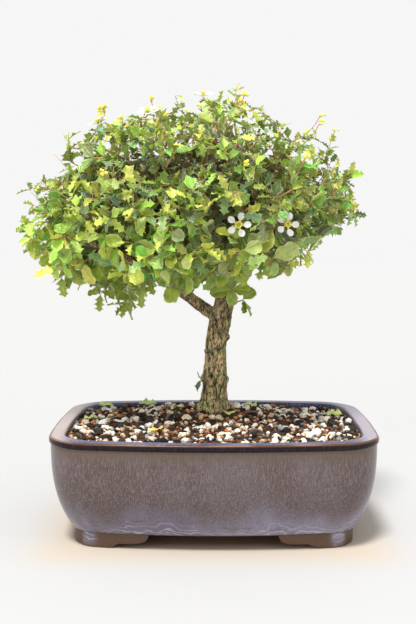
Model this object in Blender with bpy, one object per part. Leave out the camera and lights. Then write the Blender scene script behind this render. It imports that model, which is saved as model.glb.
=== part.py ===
"""A dwarf holly bonsai in a glazed rectangular pot, in metres, with +Z up and the ground at z = 0.

The pot stands on four feet and is filled with soil. The trunk stands in a plain hole in the soil. Each leafy
spray grows from the tip of a twig. Every leaf and flower is placed by a seeded rule, clear of the others.
"""

import math
import random
from dataclasses import dataclass, field

import bmesh
import bpy
from mathutils import Matrix, Vector
from mathutils.bvhtree import BVHTree

SEED = 5756
GAP = 0.0003  # left between two pieces that touch

# Pot, as a bowed rectangle with round corners
POT_LENGTH = 0.216
POT_WIDTH = 0.160
POT_HEIGHT = 0.071
LONG_SIDE_BOW = 0.0095
SHORT_SIDE_BOW = 0.0034
CORNER_RADIUS = 0.023
CORNER_TIGHTENING = 0.6  # how much the corner's radius loses for each step inward
SMALLEST_CORNER = 0.008
CORNER_STEPS = 4
RIM_WIDTH = 0.0095
RIM_HEIGHT = 0.0045
RIM_EDGE = 0.0008  # the small round along the rim's edges
RIM_OVERHANG = 0.001
WALL_THICKNESS = 0.006
WALL_TUCK = 0.0129  # how far the wall draws in towards its foot
WALL_TUCK_POWER = 2.7
UNDERSIDE_Z = 0.0094
UNDERSIDE_EDGE = 0.002  # the slope round the underside's edge
FLOOR_THICKNESS = 0.006
WALL_LEVELS = (0.0, 0.08, 0.22, 0.45, 0.72, 1.0)  # shares of the wall's height
INNER_LEVELS = (0.052, 0.028, UNDERSIDE_Z + FLOOR_THICKNESS)
DRAIN_RADIUS = 0.006
DRAIN_X = 0.045
HOLE_SIDES = 12
CUT_MARGIN = 0.005  # by which a cutter passes what it cuts

# Feet, one under each corner, with a scrolled lower edge: (distance along the pot's edge from the corner's
# middle, height of the lower edge)
FOOT_ALONG_LONG_SIDE = ((0.0435, 0.0090), (0.0415, 0.0047), (0.0345, 0.0031), (0.0250, 0.0028), (0.0165, 0.0))
FOOT_ALONG_SHORT_SIDE = ((0.0165, 0.0), (0.0235, 0.0028), (0.031, 0.0031), (0.0365, 0.0047), (0.0385, 0.009))
FOOT_CORNER = (-0.010, -0.0035, 0.0035, 0.010)
FOOT_INSET = 0.0148
FOOT_THICKNESS = 0.009
FOOT_END_DEPTH = 0.0004
FOOT_SINK = 0.003
FOOT_PATH_STEPS = 20  # between two points of the pot's outline, to find a foot's stations by

# Soil
SOIL_EDGE_Z = 0.0675
SOIL_MOUND = 0.0105
SOIL_MOUND_SPREAD = 0.046
SOIL_CELLS_X = 17
SOIL_CELLS_Y = 12
SOIL_CELL_JITTER = 0.26  # of a cell
SOIL_ROUGHNESS = 0.0006
SOIL_RIPPLE = 0.0007
SOIL_RIPPLES = (170, 210)  # radians of the ripple in a metre, along x and y
GRIT_SHARE = 0.24
GRIT_HEIGHT = (0.0016, 0.0034)
GRIT_INSET = (0.0009, 0.0022)
GRIT_TILT = 0.18
GRIT_CLEAR_OF_HOLE = 0.008
GRIT_CLEAR_OF_RIM = 0.006
HOLE_RADIUS = 0.0134
HOLE_FLOOR_Z = 0.042

# Trunk: (x, y, z, radius) up its middle
TRUNK = (
    (-0.0005, 0.008, 0.0445, 0.0125),
    (-0.0005, 0.008, 0.074, 0.0128),
    (-0.0005, 0.008, 0.0825, 0.0114),
    (0.000, 0.008, 0.089, 0.0092),
    (0.0005, 0.008, 0.096, 0.0089),
    (0.0005, 0.009, 0.1045, 0.0083),
    (0.001, 0.009, 0.112, 0.0079),
    (0.0015, 0.009, 0.125, 0.0075),
    (0.0035, 0.009, 0.1365, 0.0077),
    (0.0063, 0.009, 0.147, 0.0071),
    (0.0085, 0.010, 0.1605, 0.0062),
    (0.0115, 0.011, 0.1735, 0.0054),
    (0.018, 0.012, 0.188, 0.0044),
    (0.0245, 0.011, 0.198, 0.0035),
    (0.033, 0.010, 0.213, 0.0026),
)
TRUNK_SIDES = 12
TRUNK_BASE_RINGS = 2  # these stand in the hole and stay round
ROOT_COUNT = 5
ROOT_RIDGE = 0.10
ROOT_RIDGE_HEIGHT = 0.02  # over which the ridges fade
BARK_ROUGHNESS = 0.05

# Limbs: their routes, from a point inside what they grow from, and their radii at both ends
LIMBS = (
    # the low limb to the left
    (((0.0045, 0.009, 0.142), (-0.0055, 0.008, 0.1475), (-0.0195, 0.005, 0.158), (-0.0375, 0.002, 0.1705),
      (-0.053, -0.0035, 0.180), (-0.073, -0.0095, 0.190), (-0.089, -0.0135, 0.198)), 0.0048, 0.0020),
    # up from the low limb to the top left
    (((-0.035, 0.003, 0.1685), (-0.033, 0.008, 0.190), (-0.0215, 0.013, 0.2235), (-0.005, 0.016, 0.249)),
     0.0033, 0.0017),
    # from the low limb to the back left
    (((-0.048, -0.0005, 0.1765), (-0.063, 0.0175, 0.188), (-0.075, 0.039, 0.2005)), 0.0026, 0.0016),
    # from the low limb to the front left
    (((-0.0285, 0.004, 0.1635), (-0.0415, -0.0155, 0.1775), (-0.0535, -0.0325, 0.194)), 0.0028, 0.0016),
    # from the trunk to the upper left
    (((0.011, 0.011, 0.1705), (-0.0075, 0.0175, 0.192), (-0.031, 0.0275, 0.216), (-0.0545, 0.0295, 0.2355)),
     0.0034, 0.0016),
    # from the trunk to the back
    (((0.0085, 0.010, 0.1615), (0.0025, 0.0275, 0.1815), (-0.0075, 0.0485, 0.204), (-0.015, 0.0625, 0.2235)),
     0.0032, 0.0016),
    # from the trunk to the front
    (((0.0105, 0.010, 0.1665), (0.009, -0.0095, 0.1835), (0.0005, -0.031, 0.204), (-0.0095, -0.0445, 0.222)),
     0.0032, 0.0016),
    # from the trunk to the front right
    (((0.0125, 0.011, 0.1755), (0.0285, -0.0075, 0.190), (0.0445, -0.025, 0.204)), 0.0030, 0.0016),
    # from the trunk to the back right
    (((0.015, 0.0115, 0.181), (0.0325, 0.0275, 0.194), (0.046, 0.045, 0.210)), 0.0030, 0.0016),
    # from the leader to the right
    (((0.024, 0.011, 0.197), (0.0425, 0.008, 0.208), (0.060, 0.004, 0.216)), 0.0028, 0.0016),
    # from the leader to the top
    (((0.0175, 0.012, 0.187), (0.0165, 0.012, 0.208), (0.0125, 0.010, 0.230), (0.018, 0.008, 0.2535)),
     0.0030, 0.0016),
    # from the leader to the top right
    (((0.031, 0.010, 0.209), (0.0405, 0.014, 0.228), (0.0465, 0.016, 0.2435)), 0.0024, 0.0015),
)
LIMB_SIDES = 5
LIMB_STEPS = 2  # steps between two points of a route
TWIG_SIDES = 4
TWIG_RADIUS = (0.0014, 0.0011)
SHORTEST_TWIG = 0.008
TWIG_LIMB_SHARE = 0.85  # of its limb's radius, the thickest that a twig may be
TWIG_EASE = 0.4  # of its length, over which it bends away from its limb and out to its tip
TURN_COST = 0.35  # of a twig that turns away from its limb's heading
BACK_COST = 0.5  # of one that reaches its tip from the side
BARE_TWIG_RADIUS = (0.0009, 0.0006)
BARE_TWIG_TIPS = (
    (0.0475, -0.050, 0.2415),
    (0.0855, 0.004, 0.2475),
    (0.094, 0.008, 0.210),
    (0.0125, 0.008, 0.2915),
    (-0.0665, -0.0405, 0.2435),
    (-0.0115, -0.021, 0.1575),
)

# Canopy: half an ellipsoid above its middle, with a low peak, and a shallower half below that rises to the right
CANOPY_MIDDLE = Vector((-0.0175, 0.006, 0.216))
CANOPY_HALF_X = 0.116
CANOPY_HALF_Y = 0.092
CANOPY_UP = 0.072
CANOPY_PEAK = 0.009
CANOPY_PEAK_X = 0.012
CANOPY_PEAK_WIDTH = 0.016
CANOPY_DOWN = 0.060
CANOPY_DOWN_SLOPE = 0.16  # by which the lower half loses height to the right
CANOPY_LEAN = 0.05
CANOPY_OVERSHOOT = 0.005  # how far a leaf's tip may pass the outline

# Sprays
SPRAY_COUNT = 24
SPRAY_LOWEST = -0.80  # of the canopy's half height, where the lowest sprays start
SPRAY_BASE_SHARE = 0.56  # of the way from the canopy's middle to its outline
SPRAY_TURN = math.radians(36)  # of the first spray round the trunk
SHOOT_RADIUS = 0.00078  # to a corner of the square stem
SIDE_SHOOT_RADIUS = 0.00068
JOINT_LENGTH = 0.0009  # of the stretch of stem that a pair of leaves grows from
JOINT_SPACING = 0.0136
FIRST_JOINT = 0.004
SIDE_FIRST_JOINT = 0.008
LONGEST_SHOOT = 0.042
SIDE_SHOOT_JOINTS = 2  # joints of the main shoot that bear a pair of side shoots
SIDE_SHOOT_LENGTH = (0.010, 0.018)
SHORTEST_SIDE_SHOOT = 0.007
TIP_ROOM = 0.0075  # left ahead of a shoot for the leaf at its tip
SHOOT_TRIES = 12
SHOOT_BEND = 0.12
SHOOT_RISE = 0.3
SPRAY_LIFT = 0.008  # by which the sprays' headings rise from straight out
SHOOT_CLEAR_OF_BASE = 0.0023  # at a shoot's base, free to touch what it grows from
SIDE_SHOOT_ANGLE = math.radians(54)

# Leaves: outlines from the root to the tip as pairs of a spine and the notch after it, each given by its
# share of the length and its half width as a share of the length
SPINY = (((0.42, 0.36), (0.58, 0.19)), ((0.80, 0.33), None))
SMALL = (((0.52, 0.36), (0.70, 0.15)), (None, None))
ROUNDED = (((0.55, 0.37), (0.76, 0.34)), ((0.93, 0.22), None))
LEAF_LENGTH = (0.0125, 0.0165)
SMALL_LEAF_LENGTH = (0.0100, 0.0130)
SMALL_LEAF_SHARE = 0.34
LOW_LEAF_LENGTH = (0.0145, 0.0185)
LOW_LEAF_Z = 0.205  # below this the leaves are older, larger and rounder
TOP_LEAF_Z = (0.235, 0.275)  # between these heights the leaves become smaller
TOP_LEAF_SHARE = 0.74
LEAF_THICKNESS = 0.0007
LEAF_ROOT_HALF_WIDTH = 0.00055
LEAF_FOLD = 0.28
LEAF_DROOP = 0.10
LEAF_ANGLE = math.radians(58)
LEAF_TRIES = 12
LEAF_SPREAD = 0.10  # how loosely the leaves are set on the first try
SPREAD_PER_TRY = 0.05
SHRINK_PER_TRY = 0.03
LEAF_TO_SKY = 0.8  # how far a leaf's face turns to the sky, outward, and along its stem
LEAF_TO_OUTSIDE = 0.7
LEAF_TO_STEM = 0.4
LEAF_WAVER = 0.3
CLEARANCE = 0.00045  # added to each face of a leaf when it is tested against others
LEAF_REACH = 0.62  # of its length, from its middle to its furthest point
ROOT_SHARE = 0.20  # of a leaf's length, free to touch its own shoot

# Flowers: where they open, and the way they face
FLOWERS = (
    ((-0.0075, 0.004, 0.2935), (0.0, -0.3, 1.0)),
    ((-0.075, -0.0015, 0.281), (-0.3, -0.2, 1.0)),
    ((0.0735, 0.002, 0.271), (0.5, -0.1, 1.0)),
    ((-0.0385, -0.031, 0.281), (-0.1, -0.5, 1.0)),
    ((0.0065, -0.085, 0.197), (0.0, -1.0, 0.1)),
    ((0.050, -0.0675, 0.2025), (0.3, -1.0, 0.2)),
    ((-0.1345, -0.0015, 0.222), (-1.0, -0.2, 0.3)),
    ((-0.0305, 0.072, 0.271), (-0.1, 0.6, 1.0)),
    ((0.0385, 0.0855, 0.2315), (0.4, 1.0, 0.4)),
    ((-0.0825, 0.0855, 0.217), (-0.6, 1.0, 0.2)),
)
PETAL_COUNT = 5
FLOWER_RADIUS = 0.0078
FLOWER_DEPTH = 0.0045
FLOWER_HEART = 0.24  # of its radius, where the petals part
PETAL_OUTLINE = ((-0.5, FLOWER_HEART), (-0.24, 0.86), (0.0, 1.0), (0.24, 0.86))  # (turn, reach) of a petal
FLOWER_ROOM = (0.7, 1.05)  # radii of the room it takes up, behind and in front, as shares of its own
FLOWER_STEP = 0.001
PETAL_THICKNESS = 0.0006
PETAL_CUP = 0.25
FLOWER_EYE_RADIUS = 0.0024
FLOWER_EYE_HEIGHT = 0.0022
FLOWER_EYE_SIDES = 6
FLOWER_EYE_PROFILE = ((0.62, 0.0), (1.0, 0.45), (0.6, 1.0))  # (share of its radius, share of its height)
STALK_RADIUS = 0.0006
LONGEST_STALK = 0.014
STALK_BEND = 0.1
STALK_BEND_SHARE = 0.6  # of the way along it

# Sprouts on the trunk: name, height, the way they leave the trunk, length, and their leaves as (way, length)
SPROUT_FACE_RISE = 0.5  # how far the leaves' faces turn up
SPROUTS = (
    ("sprout_front", 0.162, (0.05, -1.0, 0.0), 0.006,
     (((-1.0, -0.25, -0.12), 0.0150), ((1.0, -0.30, 0.0), 0.0130), ((0.05, -0.3, 1.0), 0.0105),
      ((0.05, -0.3, -1.0), 0.0110))),
    ("sprout_right", 0.152, (1.0, -0.25, 0.35), 0.007,
     (((0.75, -0.3, 0.65), 0.0115), ((0.55, -0.2, -1.0), 0.0120), ((0.05, -0.5, -1.0), 0.0100))),
    ("sprout_low", 0.099, (-0.85, -0.60, 0.10), 0.0030,
     (((-0.30, -0.6, -0.75), 0.0095), ((-0.35, -0.5, 0.75), 0.0070))),
)
FALLEN_LEAF_RISE = (-0.05, 0.1)
FALLEN_LEAF_TILT = 0.2
FALLEN_LEAVES = (  # place on the soil, the way the leaf points, in degrees, and its length
    ((-0.081, 0.048), 20, 0.0135),
    ((-0.087, 0.010), 200, 0.0125),
    ((-0.050, 0.056), 10, 0.0135),
    ((-0.039, -0.038), 70, 0.0125),
    ((-0.027, 0.014), 160, 0.0140),
    ((0.010, -0.016), 95, 0.0125),
    ((0.026, 0.038), 330, 0.0135),
    ((0.087, 0.026), 150, 0.0130),
)

SHARP_ANGLE = math.radians(35)  # edges sharper than this stay sharp

COLOURS = {  # colour, roughness
    "glaze": ((0.20, 0.17, 0.19), 0.25),
    "soil": ((0.11, 0.07, 0.05), 0.95),
    "bark": ((0.24, 0.18, 0.10), 0.9),
    "leaf": ((0.16, 0.34, 0.05), 0.35),
    "petal": ((0.90, 0.90, 0.86), 0.6),
    "flower_eye": ((0.85, 0.78, 0.10), 0.6),
    "fallen_leaf": ((0.45, 0.52, 0.10), 0.5),
}


@dataclass
class Tube:
    """A stem along a path, with its radius at each point."""

    points: list
    radii: list
    sides: int


@dataclass
class Leaf:
    """One blade: where its root is, the way it points, the way its face looks, its size and its outline."""

    root: Vector
    along: Vector
    normal: Vector
    length: float
    outline: tuple


@dataclass
class Joint:
    """A short stretch of a square stem, its axes, and what grows from each of its four faces."""

    middle: Vector
    axes: tuple  # tangent, side, up
    growth: dict = field(default_factory=dict)


@dataclass
class Shoot:
    """A square stem from joint to joint, and what grows at its tip."""

    start: Vector
    axes: tuple
    radius: float
    joints: list
    tip: object = None


@dataclass
class Obstacle:
    """Something that a leaf has to stay clear of: the whole of it, and the part away from its root."""

    owner: str
    middle: Vector
    reach: float
    whole: BVHTree
    outer: BVHTree


# Paths and axes


def smooth_path(points, steps):
    """Points along one smooth curve through the given points."""
    ends = [points[0] * 2 - points[1], *points, points[-1] * 2 - points[-2]]
    path = []
    for a, b, c, d in zip(ends, ends[1:], ends[2:], ends[3:]):
        for step in range(steps):
            t = step / steps
            square = (2 * a - 5 * b + 4 * c - d) * t**2
            cube = (3 * b - a - 3 * c + d) * t**3
            path.append(0.5 * (2 * b + (c - a) * t + square + cube))
    return [*path, points[-1].copy()]


def perpendicular(vector, to):
    """The part of a vector at right angles to another, as a unit vector."""
    axis = to.normalized()
    rest = vector - axis * vector.dot(axis)
    if rest.length < 1e-6:
        rest = axis.orthogonal()
    return rest.normalized()


def axes_along(tangent, side):
    """The (tangent, side, up) axes for a heading, with the side as near as it can be to the one given."""
    side = perpendicular(side, tangent)
    return tangent, side, tangent.cross(side)


def face_ways(axes):
    """The ways that the four faces of a square stem look."""
    _, side, up = axes
    return (up, -side, -up, side)


def path_axes(points):
    """The axes at each point of a path, turned as little as possible from one to the next."""
    found = []
    side = Vector((0.3, 0.2, 1))
    for i in range(len(points)):
        before = points[max(i - 1, 0)]
        after = points[min(i + 1, len(points) - 1)]
        found.append(axes_along((after - before).normalized(), side))
        side = found[-1][1]
    return found


def canopy_half_height(x, above):
    """The height of the canopy's upper or lower half at a distance along X."""
    if above:
        return CANOPY_UP + CANOPY_PEAK * math.exp(-(((x - CANOPY_PEAK_X) / CANOPY_PEAK_WIDTH) ** 2))
    return CANOPY_DOWN - CANOPY_DOWN_SLOPE * (x - CANOPY_MIDDLE.x)


def ellipse_share(point):
    """How far a point is from the canopy's middle, as a share of the way to its outline."""
    offset = point - CANOPY_MIDDLE
    offset.z -= CANOPY_LEAN * offset.x
    half_z = canopy_half_height(point.x, offset.z > 0)
    return Vector((offset.x / CANOPY_HALF_X, offset.y / CANOPY_HALF_Y, offset.z / half_z)).length


def canopy_point(direction, share):
    """The point at that share of the way from the canopy's middle to its outline."""
    offset = Vector((CANOPY_HALF_X * direction.x, CANOPY_HALF_Y * direction.y, 0.0)) * share
    half_z = canopy_half_height(CANOPY_MIDDLE.x + offset.x, direction.z > 0)
    offset.z = half_z * direction.z * share + CANOPY_LEAN * offset.x
    return CANOPY_MIDDLE + offset


def room_ahead(point, direction, step=0.001):
    """The distance from a point to the canopy's outline, going that way."""
    distance = 0.0
    while distance < CANOPY_HALF_X and ellipse_share(point + direction * (distance + step)) < 1:
        distance += step
    return distance


def scatter(rng, spread):
    return Vector([rng.gauss(0, spread) for _ in range(3)])


# Wood


def tapered(path, radii, sides):
    thick, thin = radii
    count = len(path) - 1
    return Tube(path, [thick + (thin - thick) * i / count for i in range(count + 1)], sides)


def limb_tubes():
    tubes = []
    for route, thick, thin in LIMBS:
        path = smooth_path([Vector(place) for place in route], LIMB_STEPS)
        tubes.append(tapered(path, (thick, thin), LIMB_SIDES))
    return tubes


def twig_to(tip, outward, limbs, radii):
    """A twig that leaves the nearest suitable limb and ends at a place, heading outward."""
    best = None
    for limb in limbs:
        for i in range(len(limb.points) // 3, len(limb.points)):
            reach = tip - limb.points[i]
            if reach.length < SHORTEST_TWIG:
                continue
            before = limb.points[i] - limb.points[i - 1]
            turn = 1 - reach.normalized().dot(before.normalized())
            back = 1 - reach.normalized().dot(outward)
            cost = reach.length * (1 + TURN_COST * turn + BACK_COST * back)
            if best is None or cost < best[0]:
                best = (cost, limb.points[i], before.normalized(), limb.radii[i])
    _, start, tangent, limb_radius = best
    ease = (tip - start).length * TWIG_EASE
    middle = (start + tangent * ease + tip - outward * ease) / 2
    thick = min(radii[0], limb_radius * TWIG_LIMB_SHARE)
    return tapered(smooth_path([start, middle, tip], 1), (thick, radii[1]), TWIG_SIDES)


# Sprays


def spray_directions():
    """Unit directions spread evenly over the canopy, from its top to its lower edge."""
    golden_angle = math.pi * (3 - math.sqrt(5))
    directions = []
    for i in range(SPRAY_COUNT):
        z = 1 - (i + 0.5) * (1 - SPRAY_LOWEST) / SPRAY_COUNT
        flat = math.sqrt(1 - z * z)
        angle = SPRAY_TURN + i * golden_angle
        directions.append(Vector((flat * math.cos(angle), flat * math.sin(angle), z)))
    return directions


def grow_shoot(start, axes, first, length, bend, radius):
    """A shoot that bends a little at each of its joints, with the last of them at its tip."""
    count = max(round((length - first) / JOINT_SPACING), 0) + 1
    distances = [first + (length - first) * i / (count - 1) for i in range(count)] if count > 1 else [length]
    joints = []
    place = start
    turned = axes
    for i, distance in enumerate(distances):
        place = place + turned[0] * (distance - distances[i - 1] if i else distance)
        joints.append(Joint(place, turned))
        turned = axes_along((turned[0] + bend / count).normalized(), turned[1])
    return Shoot(start, axes, radius, joints)


def grow_side_shoot(joint, face, bend, rng):
    """A side shoot from one face of a joint, or None with too little room before the canopy's outline."""
    tangent, _, _ = joint.axes
    way = face_ways(joint.axes)[face]
    heading = (tangent * math.cos(SIDE_SHOOT_ANGLE) + way * math.sin(SIDE_SHOOT_ANGLE)).normalized()
    start = joint.middle + way * SHOOT_RADIUS * math.sqrt(0.5)
    length = min(rng.uniform(*SIDE_SHOOT_LENGTH), room_ahead(start, heading) - TIP_ROOM)
    if length < SHORTEST_SIDE_SHOOT:
        return None
    axes = axes_along(heading, way.cross(tangent))
    return grow_shoot(start, axes, SIDE_FIRST_JOINT, length, bend, SIDE_SHOOT_RADIUS)


def shoots_from(shoot):
    """A shoot and all that grow from it, from the base up."""
    found = [shoot]
    for joint in shoot.joints:
        for item in joint.growth.values():
            if isinstance(item, Shoot):
                found += shoots_from(item)
    return found


def grow_spray(name, base, heading, obstacles, rng):
    """A main shoot that carries on from a twig, with pairs of side shoots that have room."""
    length = max(room_ahead(base, heading) - TIP_ROOM, FIRST_JOINT + JOINT_SPACING)
    length = min(length, LONGEST_SHOOT)
    axes = axes_along(heading, scatter(rng, 1))
    for attempt in range(SHOOT_TRIES):
        spread = SHOOT_BEND * (1 + attempt)
        bend = Vector((rng.gauss(0, spread), rng.gauss(0, spread), rng.uniform(0.0, SHOOT_RISE)))
        main = grow_shoot(base + heading * GAP, axes, FIRST_JOINT, length, bend, SHOOT_RADIUS)
        if all(is_clear(part, obstacles) for part in shoot_obstacles(main, name)):
            break
    obstacles += shoot_obstacles(main, name)
    for number, joint in enumerate(main.joints[:SIDE_SHOOT_JOINTS]):
        for face in (1, 3) if number % 2 == 0 else (0, 2):
            side_shoot = grow_side_shoot(joint, face, bend, rng)
            if side_shoot and all(is_clear(part, obstacles) for part in shoot_obstacles(side_shoot, name)):
                joint.growth[face] = side_shoot
                obstacles += shoot_obstacles(side_shoot, name)
    return main


# Room for leaves


def leaf_point(leaf, u, v, w=0.0):
    """A point of a leaf from its share of the length, of the width, and its height off the blade."""
    across = leaf.along.cross(leaf.normal)
    lift = LEAF_FOLD * abs(v) - LEAF_DROOP * u * u
    return leaf.root + leaf.along * (u * leaf.length) + across * (v * leaf.length) + leaf.normal * (
        lift * leaf.length + w
    )


def half_outline(leaf, from_share):
    """Points down one side of a leaf, from a share of its length to its tip, to test for overlaps."""
    spots = [spot for pair in leaf.outline for spot in pair if spot]
    first_u, first_v = spots[0]
    root = LEAF_ROOT_HALF_WIDTH / leaf.length
    grow = 1 + CLEARANCE / (first_v * leaf.length)
    return [(from_share, (root + (first_v - root) * from_share / first_u) * grow)] + [
        (u, v * grow) for u, v in spots
    ]


def test_blade(leaf, from_share):
    """A plain closed shape a little larger than a leaf, from a share of its length."""
    side = half_outline(leaf, from_share)
    outline = [*side, (1 + CLEARANCE / leaf.length, 0.0), *[(u, -v) for u, v in reversed(side)]]
    count = len(outline)
    half = LEAF_THICKNESS / 2 + CLEARANCE
    points = [leaf_point(leaf, u, v, w) for w in (-half, half) for u, v in outline]
    faces = [tuple(base + k for k in range(count)) for base in (0, count)]
    faces += [(k, (k + 1) % count, (k + 1) % count + count, k + count) for k in range(count)]
    return BVHTree.FromPolygons(points, faces)


def leaf_obstacle(leaf, owner):
    middle = leaf.root + leaf.along * leaf.length / 2
    reach = leaf.length * LEAF_REACH
    return Obstacle(owner, middle, reach, test_blade(leaf, 0), test_blade(leaf, ROOT_SHARE))


def tube_obstacles(tube, owner):
    """One obstacle for each stretch of a tube."""
    found = []
    for start, end, thick, thin in zip(tube.points, tube.points[1:], tube.radii, tube.radii[1:]):
        stretch = Tube([start, end], [thick + CLEARANCE, thin + CLEARANCE], tube.sides)
        tree = BVHTree.FromPolygons(*tube_mesh(stretch))
        reach = (end - start).length / 2 + max(stretch.radii)
        found.append(Obstacle(owner, (start + end) / 2, reach, tree, tree))
    return found


def shoot_obstacles(shoot, owner):
    """Obstacles along a shoot, beginning clear of what it grows from."""
    first = shoot.start + shoot.axes[0] * SHOOT_CLEAR_OF_BASE
    points = [first, *[joint.middle for joint in shoot.joints]]
    return tube_obstacles(Tube(points, [shoot.radius] * len(points), 4), owner)


def is_clear(candidate, obstacles):
    """True if a shape meets nothing, apart from its own spray near its root."""
    for other in obstacles:
        if (candidate.middle - other.middle).length > candidate.reach + other.reach:
            continue
        own = candidate.owner == other.owner
        mine, theirs = (candidate.outer, other.outer) if own else (candidate.whole, other.whole)
        if mine.overlap(theirs):
            return False
    return True


def leaf_kind(z, rng):
    """The outline and length of a leaf at a height."""
    chance = rng.random()
    if z < LOW_LEAF_Z and chance > SMALL_LEAF_SHARE:
        return ROUNDED, rng.uniform(*LOW_LEAF_LENGTH)
    low, high = TOP_LEAF_Z
    rise = min(max((z - low) / (high - low), 0.0), 1.0)
    size = 1 + (TOP_LEAF_SHARE - 1) * rise
    if chance < SMALL_LEAF_SHARE:
        return SMALL, rng.uniform(*SMALL_LEAF_LENGTH) * size
    return SPINY, rng.uniform(*LEAF_LENGTH) * size


def try_leaf(owner, root, stem, way, obstacles, rng):
    """A leaf that leaves a stem near the given way, or None if no room is found for it."""
    outline, length = leaf_kind(root.z, rng)
    outward = (root - CANOPY_MIDDLE).normalized()
    for attempt in range(LEAF_TRIES):
        looseness = LEAF_SPREAD + SPREAD_PER_TRY * attempt
        angle = LEAF_ANGLE + rng.gauss(0, looseness)
        spread = perpendicular(way + scatter(rng, looseness), stem)
        along = (stem * math.cos(angle) + spread * math.sin(angle)).normalized()
        face = Vector((0, 0, LEAF_TO_SKY)) + outward * LEAF_TO_OUTSIDE + stem * LEAF_TO_STEM
        normal = perpendicular(face + scatter(rng, LEAF_WAVER), along)
        leaf = Leaf(root, along, normal, length * (1 - SHRINK_PER_TRY * attempt), outline)
        if ellipse_share(root + along * (leaf.length - CANOPY_OVERSHOOT)) > 1:
            continue
        candidate = leaf_obstacle(leaf, owner)
        if is_clear(candidate, obstacles):
            obstacles.append(candidate)
            return leaf
    return None


def leaf_up(name, main, obstacles, rng):
    """Sets a pair of leaves at each joint of a spray and one at each free tip."""
    for shoot in shoots_from(main):
        inset = shoot.radius * math.sqrt(0.5)
        for number, joint in enumerate(shoot.joints):
            tangent = joint.axes[0]
            for face in (0, 2) if number % 2 == 0 else (1, 3):
                way = face_ways(joint.axes)[face]
                if face not in joint.growth:
                    leaf = try_leaf(name, joint.middle + way * inset, tangent, way, obstacles, rng)
                    if leaf:
                        joint.growth[face] = leaf
        if shoot.tip is None:
            end = shoot.joints[-1]
            tangent, _, up = end.axes
            root = end.middle + tangent * JOINT_LENGTH / 2
            shoot.tip = try_leaf(name, root, tangent, tangent * 3 + up, obstacles, rng)


# Sprouts and flowers


def trunk_surface(z, way):
    """The point on the trunk's surface at a height, looking that way."""
    x, y = next((x, y) for x, y, ring_z, _ in TRUNK if ring_z >= z)
    outward = Vector((way[0], way[1], 0)).normalized()
    bark = BVHTree.FromPolygons(*loft(trunk_rings()))
    return bark.ray_cast(Vector((x, y, z)) + outward * POT_WIDTH, -outward)[0]


def grow_sprout(name, z, way, length, leaves):
    """A small sprout straight from the trunk, with leaves placed by hand round its one joint."""
    heading = Vector(way).normalized()
    start = trunk_surface(z, way) + heading * GAP
    axes = axes_along(heading, heading.cross(Vector((0, 0, 1))))
    joint = Joint(start + heading * length, axes)
    ways = face_ways(axes)
    for along, size in leaves:
        along = Vector(along).normalized()
        face = max((k for k in range(4) if k not in joint.growth), key=lambda k: along.dot(ways[k]))
        root = joint.middle + ways[face] * SIDE_SHOOT_RADIUS * math.sqrt(0.5)
        outline = SMALL if name == "sprout_low" else ROUNDED
        normal = perpendicular(heading + Vector((0, 0, SPROUT_FACE_RISE)), along)
        joint.growth[face] = Leaf(root, along, normal, size, outline)
    return Shoot(start, axes, SIDE_SHOOT_RADIUS, [joint])


def bloom_obstacles(place, facing, owner):
    """The room that an open flower takes up."""
    ends = [place - facing * PETAL_THICKNESS, place + facing * FLOWER_DEPTH]
    return tube_obstacles(Tube(ends, [FLOWER_RADIUS * share for share in FLOWER_ROOM], 8), owner)


def grow_flower(owner, place, facing, sprays, obstacles):
    """Sets a stalk on the nearest free tip of a spray and gives the place where its flower then opens."""
    tips = [(name, shoot) for name, main in sprays for shoot in shoots_from(main) if shoot.tip is None]
    name, shoot = min(tips, key=lambda tip: (tip[1].joints[-1].middle - place).length)
    start = shoot.joints[-1].middle
    reach = place - start
    place = start + reach.normalized() * min(reach.length, LONGEST_STALK)
    while not all(is_clear(part, obstacles) for part in bloom_obstacles(place, facing, owner)):
        place = place + facing * FLOWER_STEP
    middle = start.lerp(place, STALK_BEND_SHARE) - facing * (place - start).length * STALK_BEND
    end = place - facing * (GAP + STALK_RADIUS / 2)
    shoot.tip = Tube([middle, end], [STALK_RADIUS, STALK_RADIUS], 4)
    obstacles += tube_obstacles(Tube([start, *shoot.tip.points], [STALK_RADIUS] * 3, 4), name)[1:]
    obstacles += bloom_obstacles(place, facing, owner)
    return place


def grow_tree():
    """The whole tree as data: the wood's tubes, the sprays and sprouts, and the flowers' places."""
    rng = random.Random(SEED)
    limbs = limb_tubes()
    wood = list(limbs)
    bases = []
    for direction in spray_directions():
        base = canopy_point(direction, SPRAY_BASE_SHARE)
        outward = (base - CANOPY_MIDDLE + Vector((0, 0, SPRAY_LIFT))).normalized()
        twig = twig_to(base, outward, limbs, TWIG_RADIUS)
        wood.append(twig)
        bases.append((base, (twig.points[-1] - twig.points[-2]).normalized()))
    for tip in BARE_TWIG_TIPS:
        tip = Vector(tip)
        wood.append(twig_to(tip, (tip - CANOPY_MIDDLE).normalized(), limbs, BARE_TWIG_RADIUS))
    trunk_line = Tube([Vector(ring[:3]) for ring in TRUNK], [ring[3] for ring in TRUNK], TRUNK_SIDES)
    obstacles = [part for tube in [trunk_line, *wood] for part in tube_obstacles(tube, "wood")]
    sprouts = [(sprout[0], grow_sprout(*sprout)) for sprout in SPROUTS]
    for name, sprout in sprouts:
        obstacles += [leaf_obstacle(leaf, name) for leaf in sprout.joints[0].growth.values()]
    sprays = []
    for number, (base, heading) in enumerate(bases, 1):
        name = f"spray_{number:02d}"
        sprays.append((name, grow_spray(name, base, heading, obstacles, rng)))
    flowers = []
    for number, (place, facing) in enumerate(FLOWERS, 1):
        facing = Vector(facing).normalized()
        name = f"flower_{number:02d}"
        flowers.append((name, grow_flower(name, Vector(place), facing, sprays, obstacles), facing))
    for name, main in sprays:
        leaf_up(name, main, obstacles, rng)
    return wood, sprays, sprouts, flowers


# Meshes


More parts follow.
